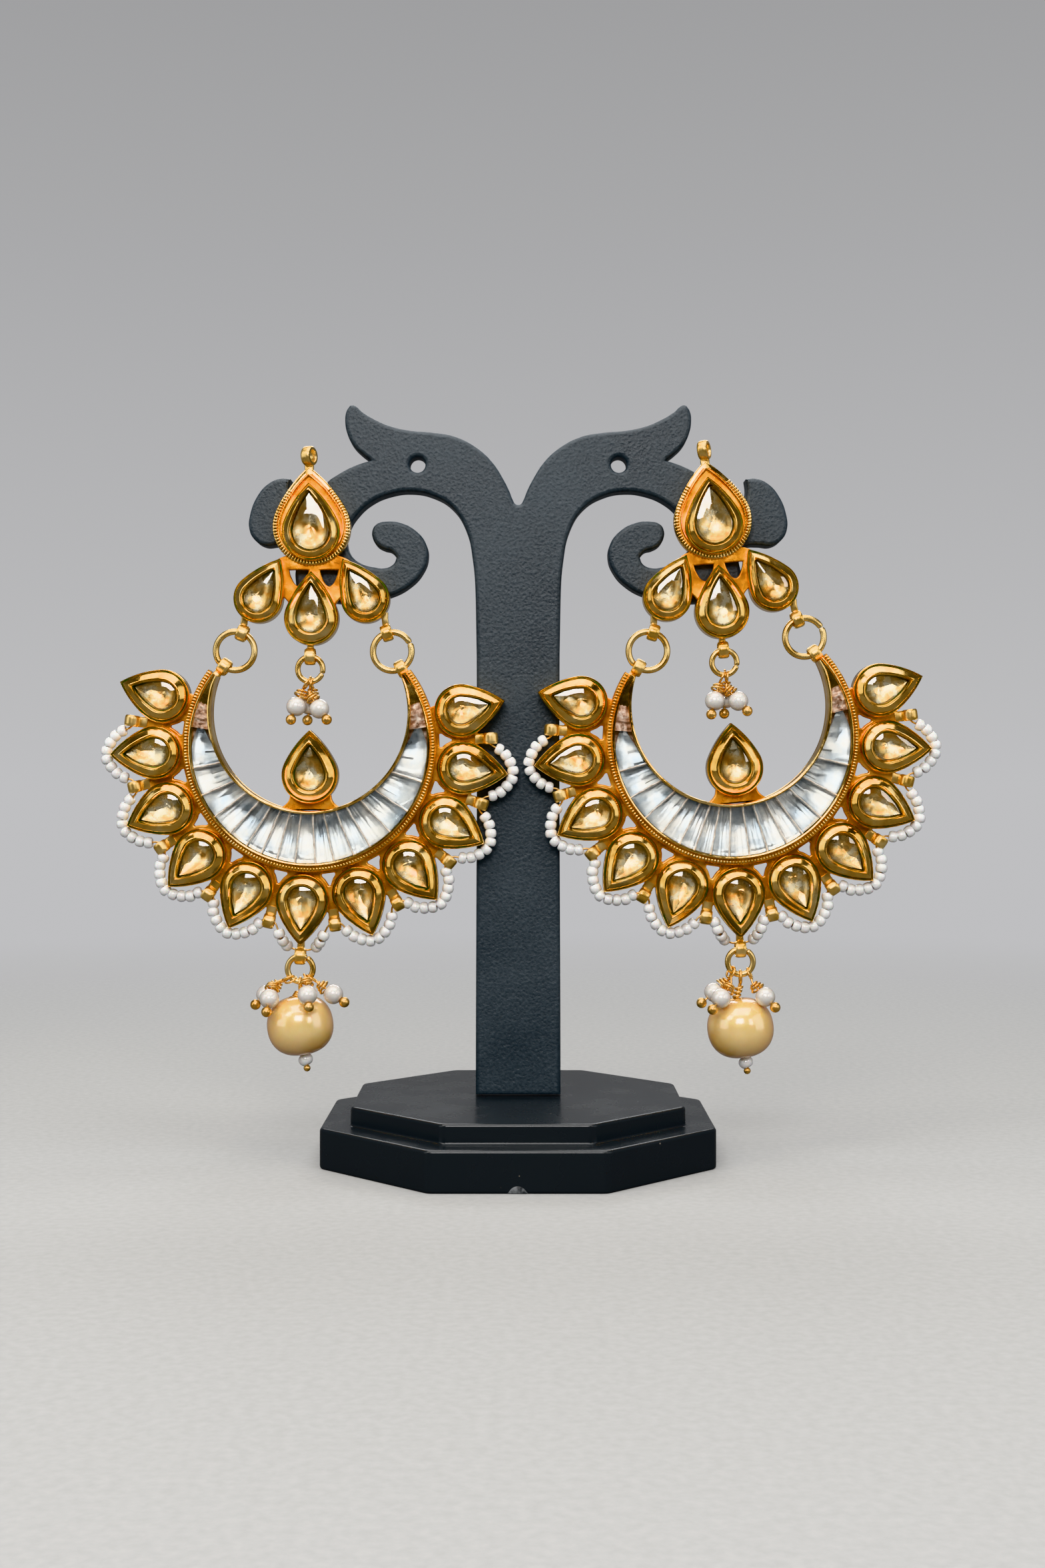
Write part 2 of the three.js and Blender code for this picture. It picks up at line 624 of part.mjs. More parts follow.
/** Stations of beads along a route: thread, bead, thread, each with its radius. */
function beadStations(route, count, middleGap) {
  const length = route.getLength();
  const pitch = Math.min(BEAD.length, (length - middleGap - BEAD_LOOP.bareAtEyelets) / count);
  const stations = [{ at: 0, radius: BEAD.threadRadius }];
  for (let order = 0; order < count; order += 1) {
    const side = order < count / 2 ? -1 : 1;
    const start = length / 2 + (order - count / 2) * pitch + (side * middleGap) / 2;
    if (start - stations.at(-1).at > BEAD_LOOP.shortestThread) {
      stations.push({ at: start, radius: BEAD.threadRadius });
    }
    stations.push({ at: start + pitch / 2, radius: BEAD.radius });
    stations.push({ at: start + pitch, radius: BEAD.waist * BEAD.radius });
  }
  stations.at(-1).radius = BEAD.threadRadius;
  return stations.map(({ at, radius }) => {
    const share = at / length;
    return { point: route.getPointAt(share), tangent: route.getTangentAt(share), radius };
  });
}

/** The bead fringe of one earring: loops of seed beads on one thread through the eyelets. */
function fringe(counts) {
  const middle = (counts.length - 1) / 2;
  const stations = counts.flatMap((count, order) => {
    const atBottom = order === middle;
    const route = beadRoute(petalAngle(order + 1), atBottom);
    return beadStations(route, count, atBottom ? BEAD_LOOP.bottomGap : 0);
  });
  const last = petalAngle(counts.length) + PETALS.step / 2;
  const end = onRound(BEAD_EYELET.radius, last, BEAD.depth);
  stations.push({ point: end, tangent: stations.at(-1).tangent, radius: BEAD.threadRadius });
  const towardsViewer = new THREE.Vector3(0, 0, 1);
  const rings = stations.map(({ point, tangent, radius }) => {
    const across = towardsViewer.clone().cross(tangent).normalize();
    const ring = [];
    for (let side = 0; side < BEAD.sides; side += 1) {
      const angle = (2 * Math.PI * side) / BEAD.sides;
      const offset = across.clone().multiplyScalar(radius * Math.cos(angle));
      offset.addScaledVector(towardsViewer, radius * Math.sin(angle));
      ring.push(point.clone().add(offset));
    }
    return ring;
  });
  const cap = rings[0].map((point, side) => {
    const angle = (2 * Math.PI * side) / BEAD.sides;
    return new THREE.Vector2(Math.cos(angle), Math.sin(angle));
  });
  return toSolid(loft(rings, cap));
}

// ------------------------------------------------------------------ pearl drop

/** The big pearl on its headpin, with a seed pearl and an end ball under it and an eye above. */
function dropPearl(length) {
  const { width, height, pinTurn, seedRadius, ballRadius, eyeRadius, stemRadius } = DROP_PEARL;
  const below = (distance) => new THREE.Vector3(
    distance * Math.sin(radians(pinTurn)),
    -length - distance * Math.cos(radians(pinTurn)),
    0,
  );
  const pearl = new THREE.SphereGeometry(width / 2, 12, 8).scale(1, height / width, 1);
  pearl.rotateZ(radians(pinTurn)).translate(0, -length, 0);
  const eyeCentre = -DROP_RING.meanRadius;
  const eye = new THREE.TorusGeometry(eyeRadius, WIRE_RADIUS, 4, 7).rotateY(Math.PI / 2);
  const seed = below(height / 2 + seedRadius - 0.3);
  const ball = below(height / 2 + 2 * seedRadius - 0.1);
  return join([
    toSolid(pearl),
    toSolid(eye.translate(0, eyeCentre, 0)),
    toSolid(rod(new THREE.Vector3(0, eyeCentre - eyeRadius, 0), below(0), stemRadius)),
    toSolid(new THREE.SphereGeometry(seedRadius, 6, 4).translate(...seed.toArray())),
    toSolid(rod(seed, ball, WIRE_RADIUS)),
    toSolid(new THREE.SphereGeometry(ballRadius, 5, 3).translate(...ball.toArray())),
  ]);
}

// ------------------------------------------------------------------ one earring

function buildEarring(side) {
  const earring = new THREE.Group();
  const { x, z, turn } = HANGS[side];
  earring.position.set(x, BACK_Y, z);
  earring.rotation.set(Math.PI / 2, 0, radians(turn));

  earring.add(piece(`${side}_top_frame`, topFrame(), plating));
  for (const { stone, cup, x: stoneX, y: stoneY, turn: stoneTurn } of TOP_CUPS) {
    const body = pearStone(CUPS[cup], stoneX, stoneY, stoneTurn);
    earring.add(piece(`${side}_${stone}`, body, foiledStone));
  }
  earring.add(piece(`${side}_ear_nut`, earNut(), plating));

  for (const ringSide of ["left", "right"]) {
    const { centre } = linkLayout(ringSide);
    const ring = piece(`${side}_link_ring_${ringSide}`, wireRing(LINK.meanRadius, LINK.wire, 14), plating);
    ring.position.copy(centre);
    earring.add(ring);
  }

  const centrePlace = [CENTRE_RING.x, CENTRE_RING.top - CENTRE_RING.meanRadius, EYELET.depth];
  const centreRing = piece(
    `${side}_centre_ring`,
    wireRing(CENTRE_RING.meanRadius, CENTRE_RING.wire),
    plating,
  );
  centreRing.position.set(...centrePlace);
  const cluster = pearlCluster(CENTRE_CLUSTER, CENTRE_RING.meanRadius, 0);
  const centrePearls = piece(`${side}_centre_pearls`, cluster, pearlWhite);
  centrePearls.position.set(...centrePlace);
  earring.add(centreRing, centrePearls);

  const crescent = new THREE.Group();
  crescent.position.set(CRESCENT.x, CRESCENT.y, 0);
  earring.add(crescent);
  crescent.add(piece(`${side}_crescent_frame`, crescentFrame(), plating));
  crescent.add(piece(`${side}_crescent_stones`, crescentStones(), clearStone));
  for (let order = 0; order < PETALS.count; order += 1) {
    const angle = petalAngle(order);
    const centre = onRound(PETALS.centreRadius, angle);
    const stone = pearStone(CUPS.petal, centre.x, centre.y, 180 + angle);
    const number = String(order + 1).padStart(2, "0");
    crescent.add(piece(`${side}_petal_stone_${number}`, stone, foiledStone));
  }
  crescent.add(piece(`${side}_inner_stone`, pearStone(CUPS.inner, 0, INNER_CUP_Y, 0), foiledStone));
  crescent.add(piece(`${side}_bead_fringe`, fringe(BEAD_COUNTS[side]), pearlWhite));

  // The drop hangs plumb, whatever the turn of the earring above it.
  const drop = new THREE.Group();
  const hook = onRound(BOTTOM_EYELET_RADIUS, PETALS.middle, EYELET.depth);
  const plumb = new THREE.Vector3(0, -DROP_RING.meanRadius, 0);
  plumb.applyAxisAngle(new THREE.Vector3(0, 0, 1), -radians(turn));
  drop.position.copy(hook).add(plumb);
  drop.rotation.z = -radians(turn);
  crescent.add(drop);
  drop.add(piece(`${side}_drop_ring`, wireRing(DROP_RING.meanRadius, DROP_RING.wire), plating));
  drop.add(piece(`${side}_drop_pearl`, dropPearl(DROP_LENGTHS[side]), pearlGold));
  for (const clusterSide of ["left", "right"]) {
    const eyeAngle = clusterSide === "left" ? -CLUSTER_EYE_ANGLE : CLUSTER_EYE_ANGLE;
    const pearls = DROP_CLUSTERS[side][clusterSide];
    const body = pearlCluster(pearls, DROP_RING.meanRadius, eyeAngle);
    drop.add(piece(`${side}_drop_small_pearls_${clusterSide}`, body, pearlWhite));
  }
  return earring;
}

// ------------------------------------------------------------------ stand

/** Outline of a square with cut corners, from the distance between its flats. */
function octagon(flats) {
  const half = flats / 2;
  const edge = (flats * BASE.edgeShare) / 2;
  const corners = [
    [half, -edge],
    [half, edge],
    [edge, half],
    [-edge, half],
    [-half, edge],
    [-half, -edge],
    [-edge, -half],
    [edge, -half],
  ];
  return corners.map(([x, y]) => new THREE.Vector2(x, y));
}

/** The moulded base: two octagonal tiers, hollow from below, with a notch in its front edge. */
function standBase() {
  const { lowerFlats, upperFlats, lowerTop, upperTop, wall, notchWidth, notchHeight } = BASE;
  const outside = toSolid(prism(octagon(lowerFlats), 0, lowerTop)).add(
    toSolid(prism(octagon(upperFlats), lowerTop - wall, upperTop)),
  );
  const hollow = toSolid(prism(octagon(lowerFlats - 2 * wall), -1, lowerTop - wall)).add(
    toSolid(prism(octagon(upperFlats - 2 * wall), -1, upperTop - wall)),
  );
  const notch = new THREE.CylinderGeometry(notchWidth / 2, notchWidth / 2, 3 * wall, 12);
  notch.scale(1, 1, (2 * notchHeight) / notchWidth).translate(0, -lowerFlats / 2, 0);
  return outside.subtract(hollow).subtract(toSolid(notch));
}

// The left arm's outline from the column round the scroll, lobe, beak and horn to the middle,
// as smooth stretches that meet in corners.
const ARM_STRETCHES = [
  // Under the arch and down the inner side of the stem, then round the inside of the curl.
  [
    [-6.15, 80],
    [-6.9, 88.4],
    [-9.2, 93.4],
    [-13.3, 95.8],
    [-17.7, 95.9],
    [-21.5, 94.4],
    [-24.1, 91.6],
    [-24.9, 88.6],
    [-23.6, 86.2],
    [-21.2, 85.2],
    [-18.9, 85.1],
    [-17.6, 86.3],
    [-18.5, 87.5],
    [-20.2, 88],
    [-21.1, 89.4],
  ],
  // Round the curl's tip and outside, and along the scroll's underside to the lobe.
  [
    [-21.1, 89.4],
    [-21, 90.9],
    [-19.5, 91.75],
    [-16.2, 91.3],
    [-13.7, 89.2],
    [-13.1, 86.4],
    [-14.7, 83.3],
    [-18.3, 81],
    [-24, 80],
    [-29.5, 80.6],
    [-32.4, 82.6],
    [-32, 85.6],
    [-32.3, 87.5],
    [-34, 88.4],
    [-36.6, 88.2],
    [-38.6, 89.6],
    [-39, 92.2],
    [-37.6, 95.8],
    [-35.3, 97.8],
    [-33, 97.9],
  ],
  // Down the lobe's inner edge, round the notch that holds the ear post, and up the beak.
  [
    [-33, 97.9],
    [-33.1, 95.6],
    [-32, 92.6],
    [-30.6, 90.3],
    [-29.1, 89.8],
    [-27.2, 90.5],
    [-26.6, 92],
    [-27.8, 94.2],
    [-28.4, 96.1],
    [-27.5, 97.6],
    [-24.5, 99.5],
    [-21.4, 100.6],
  ],
  // The throat and the horn's lower side.
  [
    [-21.4, 100.6],
    [-23.4, 102.2],
    [-24.6, 104],
    [-25.1, 106.6],
    [-24.6, 108.4],
    [-23.8, 108.6],
  ],
  // The horn's back, the head and the shoulder down to the middle of the stand.
  [
    [-23.8, 108.6],
    [-21.8, 107.1],
    [-18.6, 105.6],
    [-14.7, 104.8],
    [-9.8, 104.3],
    [-5.1, 101.8],
    [-2.7, 98.8],
    [-1.2, 96],
    [-0.6, 94.5],
    [0, 94.2],
  ],
];

/** The plate: column and two mirrored arms, cut from one thickness. */
function standPlate() {
  const stepsPerPoint = 1.4;
  const half = [new THREE.Vector2(-PLATE.columnWidth / 2, PLATE.foot)];
  for (const stretch of ARM_STRETCHES) {
    const curve = new THREE.SplineCurve(stretch.map(([x, z]) => new THREE.Vector2(x, z)));
    const points = curve.getPoints(Math.round(stepsPerPoint * (stretch.length - 1)));
    half.push(...points.slice(half.length > 1 ? 1 : 0));
  }
  const otherHalf = half.slice(0, -1).map((point) => new THREE.Vector2(-point.x, point.y));
  const outline = new THREE.Shape([...half, ...otherHalf.reverse()]);
  for (const side of [-1, 1]) {
    const eye = new THREE.Path();
    eye.absarc(side * PLATE.eyeX, PLATE.eyeZ, PLATE.eyeRadius, 0, 2 * Math.PI, false);
    outline.holes.push(eye);
  }
  const options = { depth: PLATE.thickness, bevelEnabled: false, curveSegments: 5 };
  const body = new THREE.ExtrudeGeometry(outline, options);
  return toSolid(body.translate(0, 0, -PLATE.thickness / 2).rotateX(Math.PI / 2));
}

// ------------------------------------------------------------------ the whole object

const group = new THREE.Group();
group.add(piece("stand_base", standBase(), blackPlastic));
group.add(piece("stand_plate", standPlate(), slatePlastic));
group.add(buildEarring("left"), buildEarring("right"));

export default group;
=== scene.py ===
import json
import math
import random

import bmesh
import bpy
from mathutils import Matrix, Vector


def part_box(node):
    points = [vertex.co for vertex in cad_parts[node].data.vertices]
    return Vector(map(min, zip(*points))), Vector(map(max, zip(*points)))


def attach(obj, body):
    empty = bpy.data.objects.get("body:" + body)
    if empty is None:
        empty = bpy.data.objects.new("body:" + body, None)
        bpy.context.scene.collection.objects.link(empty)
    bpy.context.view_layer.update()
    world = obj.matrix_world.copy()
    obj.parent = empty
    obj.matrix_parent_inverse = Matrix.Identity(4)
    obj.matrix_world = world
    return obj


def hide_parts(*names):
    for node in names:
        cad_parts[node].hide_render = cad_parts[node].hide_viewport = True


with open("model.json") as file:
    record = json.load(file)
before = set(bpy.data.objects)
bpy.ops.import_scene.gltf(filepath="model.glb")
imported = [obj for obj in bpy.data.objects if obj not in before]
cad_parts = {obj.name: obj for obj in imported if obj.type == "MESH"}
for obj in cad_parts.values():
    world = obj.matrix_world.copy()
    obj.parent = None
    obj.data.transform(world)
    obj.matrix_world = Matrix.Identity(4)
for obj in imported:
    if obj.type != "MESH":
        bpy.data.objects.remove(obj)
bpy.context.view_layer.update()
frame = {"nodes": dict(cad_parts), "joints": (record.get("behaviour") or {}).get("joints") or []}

scene = bpy.context.scene
MM = 0.001

# The studio: the viewer looks level at the earrings from a hand's length away,
# over a pale matte table under large soft lamps. Table and room are paler to
# the viewer than to reflections, which keeps the dark sides of the gold dark.

viewer = bpy.data.objects.new("viewer", bpy.data.cameras.new("viewer"))
viewer.location = (0.00063, -0.270, 0.0537)
viewer.rotation_euler = (math.pi / 2, 0, 0)
viewer.data.lens = 42.5
viewer.data.sensor_width = 36
viewer.data.clip_start = 0.01
viewer.data.clip_end = 20
scene.collection.objects.link(viewer)
scene.camera = viewer
scene.view_settings.view_transform = "Khronos PBR Neutral"
scene.view_settings.look = "None"
scene.view_settings.exposure = 0.28


def fill(node, settings):
    """Sets a node's options and sockets; a socket whose value is another socket is joined to it."""
    for setting, value in settings.items():
        socket = setting.replace("_", " ")
        if socket not in node.inputs:
            setattr(node, setting, value)
        elif isinstance(value, bpy.types.NodeSocket):
            node.id_data.links.new(value, node.inputs[socket])
        else:
            node.inputs[socket].default_value = value


def adder(tree):
    """A way to add nodes to a tree: it takes a kind, an output and settings, and returns the output."""

    def add(kind, output, **settings):
        node = tree.nodes.new("ShaderNode" + kind)
        fill(node, settings)
        return node.outputs[output]

    return add


def finish_of(name):
    """A new finish: the material, a way to add nodes, and a way to set its shader."""
    material = bpy.data.materials.new(name)
    material.use_nodes = True

    def dress(**settings):
        fill(material.node_tree.nodes["Principled BSDF"], settings)

    return material, adder(material.node_tree), dress


def ramp(add, value, *stops):
    """A colour that follows a value through (place, colour) stops."""
    colour = add("ValToRGB", "Color", Fac=value)
    steps = colour.node.color_ramp.elements
    while len(steps) < len(stops):
        steps.new(0.5)
    for step, (place, tone) in zip(steps, stops):
        step.position = place
        step.color = (*tone, 1)
    return colour


def graded(add, value, start, end, low, high):
    """A number that goes from low to high while a value goes from start to end."""
    return add("MapRange", "Result", Value=value, From_Min=start, From_Max=end, To_Min=low, To_Max=high)


table_top, add, dress = finish_of("table_top")
spot = add("TexCoord", "Object")
fibres = add("TexNoise", "Fac", Vector=spot, Scale=900, Detail=3)
tint = ramp(add, fibres, (0.3, (0.29, 0.288, 0.283)), (0.7, (0.32, 0.318, 0.313)))
away = add("VectorMath", "Value", operation="LENGTH", Vector=spot)
fade = graded(add, away, 0.10, 0.42, 1.0, 0.0)
fade.node.interpolation_type = "SMOOTHSTEP"
straight = add("LightPath", "Is Camera Ray")
pale = add("Mix", "Result", data_type="RGBA", Factor=straight, A=(0.10, 0.10, 0.10, 1), B=tint)
dress(Base_Color=pale, Emission_Color=pale, Emission_Strength=0.4, Roughness=0.85, Alpha=fade)

bpy.ops.mesh.primitive_circle_add(vertices=96, radius=6, fill_type="NGON")
table = bpy.context.object
table.name = "table"
table.data.materials.append(table_top)

# name, place, aimed at, width, height, watts, colour
LAMPS = [
    ("key_lamp", (-0.03, -0.42, 0.25), (0, 0, 0.06), 0.19, 0.15, 0.85, (1.0, 0.98, 0.96)),
    ("upper_left_lamp", (-0.27, -0.24, 0.33), (0, 0, 0.06), 0.13, 0.13, 0.28, (1.0, 0.94, 0.84)),
    ("right_lamp", (0.26, -0.34, 0.19), (0, 0, 0.06), 0.10, 0.14, 0.20, (1.0, 0.94, 0.86)),
    ("top_lamp", (0.0, -0.10, 0.48), (0, -0.06, 0.06), 0.50, 0.46, 2.1, (1.0, 0.99, 0.97)),
    ("side_lamp_left", (-0.41, -0.20, 0.17), (0, 0, 0.06), 0.28, 0.36, 0.32, (0.93, 0.97, 1.0)),
    ("side_lamp_right", (0.42, -0.18, 0.18), (0, 0, 0.06), 0.28, 0.36, 0.32, (0.93, 0.97, 1.0)),
    ("back_lamp", (0.0, 0.50, 0.42), (0, 0, 0.06), 0.50, 0.20, 1.2, (0.96, 0.98, 1.0)),
]
for name, spot, aim, width, height, watts, colour in LAMPS:
    lamp = bpy.data.lights.new(name, "AREA")
    lamp.shape = "RECTANGLE"
    lamp.size = width
    lamp.size_y = height
    lamp.energy = watts
    lamp.color = colour
    stand_in = bpy.data.objects.new(name, lamp)
    stand_in.location = spot
    stand_in.rotation_euler = (Vector(aim) - Vector(spot)).to_track_quat("-Z", "Y").to_euler()
    scene.collection.objects.link(stand_in)

# The room: a plain pale backdrop all round, which lights the earrings only softly,
# and less from the viewer's side and from overhead than from behind the table.
room = bpy.data.worlds.new("room")
scene.world = room
room.use_nodes = True
join = room.node_tree.links.new
add = adder(room.node_tree)
height = add("SeparateXYZ", "Z", Vector=add("TexCoord", "Generated"))
depth = height.node.outputs["Y"]
strength = graded(add, depth, -0.5, 0.5, 0.07, 1.0)
walls = []
for greys in ((0.22, 0.12), (0.46, 0.24)):
    stops = [(level, (grey, grey, grey * 1.02)) for level, grey in zip((0.0, 0.6), greys)]
    walls.append(add("Background", "Background", Color=ramp(add, height, *stops)))
join(strength, walls[0].node.inputs["Strength"])
either = add("MixShader", "Shader", Fac=add("LightPath", "Is Camera Ray"))
join(walls[0], either.node.inputs[1])
join(walls[1], either.node.inputs[2])
join(either, room.node_tree.nodes["World Output"].inputs["Surface"])

# Stand base: two octagonal tiers moulded as one hollow shell of smooth black
# plastic, with softened edges, a small fillet between the tiers and a notch
# with a gate nub in the bottom of its front edge.

base_low, base_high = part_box("stand_base")
LOWER_FLATS = (base_high.x - base_low.x) / MM
UPPER_FLATS = 0.85 * LOWER_FLATS
EDGE_SHARE = 0.43
LOWER_TOP = 5.7
UPPER_TOP = base_high.z / MM
BASE_WALL = 2.0
CORNER_REACH = 0.7


def bend(start, pull, end, steps):
    """Points of the curve that leaves start towards pull and arrives at end."""
    found = []
    for k in range(steps + 1):
        t = k / steps
        found.append(start * (1 - t) ** 2 + pull * 2 * t * (1 - t) + end * t * t)
    return found


def octagon_ring(flats, z):
    """A cut-corner square with its corners softened, at one height."""
    half = flats / 2
    edge = half * EDGE_SHARE
    corners = [
        (half, -edge), (half, edge), (edge, half), (-edge, half),
        (-half, edge), (-half, -edge), (-edge, -half), (edge, -half),
    ]
    points = [Vector((x, y, z)) for x, y in corners]
    ring = []
    for k, point in enumerate(points):
        before = (points[k - 1] - point).normalized() * CORNER_REACH
        after = (points[(k + 1) % 8] - point).normalized() * CORNER_REACH
        ring += bend(point + before, point, point + after, 4)
    return ring


def skin(rings, closed=False, finish=0):
    """A surface through rings of equally many points, capped at both ends or closed on itself."""
    count = len(rings[0])
    points = [point for ring in rings for point in ring]
    faces = []
    for k in range(len(rings) if closed else len(rings) - 1):
        upper = ((k + 1) % len(rings)) * count
        for i in range(count):
            j = (i + 1) % count
            faces.append((k * count + i, k * count + j, upper + j, upper + i))
    if not closed:
        faces.append(tuple(reversed(range(count))))
        faces.append(tuple(range((len(rings) - 1) * count, len(rings) * count)))
    return points, faces, finish


def piece(name, shapes, finishes, body, stands_for, place=None, corner=32):
    """One piece from shapes in millimetres; a shape's finish is one number, or one for each face."""
    place = place or Matrix.Scale(MM, 4)
    points, faces, which = [], [], []
    for shape_points, shape_faces, finish in shapes:
        start = len(points)
        points += [place @ Vector(point) for point in shape_points]
        faces += [tuple(start + i for i in face) for face in shape_faces]
        which += [finish] * len(shape_faces) if isinstance(finish, int) else finish
    mesh = bpy.data.meshes.new(name)
    mesh.from_pydata(points, [], faces)
    mesh.polygons.foreach_set("material_index", which)
    outward = bmesh.new()
    outward.from_mesh(mesh)
    bmesh.ops.recalc_face_normals(outward, faces=outward.faces)
    outward.to_mesh(mesh)
    outward.free()
    mesh.shade_smooth()
    mesh.set_sharp_from_angle(angle=math.radians(corner))
    made = bpy.data.objects.new(name, mesh)
    scene.collection.objects.link(made)
    for finish in finishes:
        mesh.materials.append(finish)
    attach(made, body)
    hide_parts(stands_for)
    return made


def quarter_round(radius, flats, z, start, end):
    """Octagon rings along a quarter round of the shell's edge."""
    found = []
    for k in range(6):
        angle = math.radians(start + (end - start) * k / 5)
        found.append(octagon_ring(flats + 2 * radius * math.cos(angle), z + radius * math.sin(angle)))
    return found


EDGE = 0.45
FILLET = 0.3
inner_low = LOWER_FLATS - 2 * BASE_WALL
inner_high = UPPER_FLATS - 2 * BASE_WALL
base_rings = [
    octagon_ring(inner_high, UPPER_TOP - BASE_WALL),
    octagon_ring(inner_high, LOWER_TOP - BASE_WALL),
    octagon_ring(inner_low, LOWER_TOP - BASE_WALL),
    octagon_ring(inner_low, 0.15),
    octagon_ring(inner_low + 0.3, 0),
    octagon_ring(LOWER_FLATS - 0.5, 0),
    octagon_ring(LOWER_FLATS - 0.1, 0.2),
    octagon_ring(LOWER_FLATS, 0.5),
    *quarter_round(EDGE, LOWER_FLATS - 2 * EDGE, LOWER_TOP - EDGE, 0, 90),
    *quarter_round(FILLET, UPPER_FLATS + 2 * FILLET, LOWER_TOP + FILLET, 270, 180),
    *quarter_round(EDGE, UPPER_FLATS - 2 * EDGE, UPPER_TOP - EDGE, 0, 90),
]

moulded_plastic, add, dress = finish_of("moulded_black_plastic")
spot = add("TexCoord", "Object")
flow = add("TexNoise", "Fac", Vector=spot, Scale=140, Detail=4)
dust = add("TexVoronoi", "Distance", Vector=spot, Scale=420, Randomness=1.0)
speck = graded(add, dust, 0.035, 0.06, 1.0, 0.0)
patches = add("TexNoise", "Fac", Vector=spot, Scale=60, Detail=2)
where = graded(add, patches, 0.48, 0.62, 0.0, 1.0)
dusty = add("Math", "Value", operation="MULTIPLY", Value=speck)
moulded_plastic.node_tree.links.new(where, dusty.node.inputs[1])
colour = add(
    "Mix", "Result", data_type="RGBA", Factor=dusty,
    A=(0.0230, 0.0265, 0.0300, 1), B=(0.30, 0.27, 0.23, 1),
)
gloss = graded(add, flow, 0.3, 0.7, 0.20, 0.32)
grain = add("Bump", "Normal", Height=flow, Strength=0.25, Distance=0.00004)
dress(Base_Color=colour, Roughness=gloss, Normal=grain, IOR=1.5)

base = piece(
    "stand_base_shell", [skin(base_rings)], [moulded_plastic], "stand", "stand_base",
)


def applied(made, kind, **settings):
    """Adds one modifier to a piece and applies it to its mesh."""
    modifier = made.modifiers.new(kind.lower(), kind)
    for name, value in settings.items():
        setattr(modifier, name, value)
    shown = bpy.context.evaluated_depsgraph_get()
    mesh = bpy.data.meshes.new_from_object(made.evaluated_get(shown))
    made.modifiers.clear()
    made.data = mesh
    return made


NOTCH_WIDTH = 3.3
NOTCH_HEIGHT = 1.5
arch = [(-NOTCH_WIDTH / 2, -1), (NOTCH_WIDTH / 2, -1)]
for k in range(17):
    angle = math.pi * k / 16
    arch.append((NOTCH_WIDTH / 2 * math.cos(angle), NOTCH_HEIGHT * math.sin(angle)))
front, back = (
    [Vector((x, y - LOWER_FLATS / 2, z)) * MM for x, z in arch] for y in (-2, 1.2)
)
notch_points, notch_faces, _ = skin([front, back])
notch = bpy.data.meshes.new("notch")
notch.from_pydata(notch_points, [], notch_faces)
cutter = bpy.data.objects.new("notch", notch)
scene.collection.objects.link(cutter)
applied(base, "BOOLEAN", operation="DIFFERENCE", object=cutter, solver="EXACT")
bpy.data.objects.remove(cutter)
applied(base, "WEIGHTED_NORMAL", mode="FACE_AREA", keep_sharp=True)


def mottled(name, noise, tones, gloss, bump=None, spread=(0.3, 0.7), **constants):
    """A finish whose tone, gloss and fine relief all follow one noise."""
    material, add, dress = finish_of(name)
    fine = add("TexNoise", "Fac", Vector=add("TexCoord", "Object"), **noise)
    dress(Base_Color=ramp(add, fine, *tones), Roughness=graded(add, fine, *spread, *gloss), **constants)
    if bump:
        strength, distance = bump
        dress(Normal=add("Bump", "Normal", Height=fine, Strength=strength, Distance=distance))
    return material


# The nub is a lighter grey than the shell: partly stress-whitened plastic where the gate was sheared,
# partly painted light so the nub looks lit.
gate_plastic_with_painted_light = mottled(
    "sheared_gate_plastic_with_painted_light", {"Scale": 1500, "Detail": 4},
    [(0.36, (0.030, 0.034, 0.038)), (0.62, (0.17, 0.18, 0.19))], (0.30, 0.5), (0.5, 0.00008),
)

nub_rings = []
for depth, wide, high in ((1.3, 0.95, 0.97), (0.5, 0.93, 0.95), (0.15, 0.86, 0.86), (-0.05, 0.66, 0.62)):
    nub_rings.append([
        Vector((x * wide, depth - LOWER_FLATS / 2, max(0.12, z * high))) for x, z in arch
    ])
piece(
    "stand_gate_nub", [skin(nub_rings)], [gate_plastic_with_painted_light], "stand", "stand_base",
)

# Stand plate: the column and two mirrored scrolled arms, moulded in one flat
# slab with softly rounded edges and a fine leather grain, set in the base.


def facing(x=0.0, z=0.0, y=0.0, turn=0.0):
    """Frame of a thing that faces the viewer: x to the right, y up, z towards the viewer."""
    lean = math.radians(turn)
    frame_axes = Matrix((
        (math.cos(lean), -math.sin(lean), 0, x),
        (0, 0, -1, y),
        (math.sin(lean), math.cos(lean), 0, z),
        (0, 0, 0, 1),
    ))
    return Matrix.Scale(MM, 4) @ frame_axes


def outlines(node):
    """The outlines of a flat node's front face, as loops of (across, up) in millimetres."""
    mesh = frame["nodes"][node].data
    spots = {v.index: (round(v.co.x, 6), round(v.co.z, 6)) for v in mesh.vertices}
    edges = {}
    for face in mesh.polygons:
        if face.normal.y > -0.99:
            continue
        corners = [spots[i] for i in face.vertices]
        for edge in zip(corners, corners[1:] + corners[:1]):
            if edge[::-1] in edges:
                del edges[edge[::-1]]
            else:
                edges[edge] = True
    onward = dict(edges.keys())
    loops = []
    while onward:
        point = next(iter(onward))
        loop = []
        while point in onward:
            loop.append((point[0] / MM, point[1] / MM))
            point = onward.pop(point)
        loops.append(loop)
    return loops


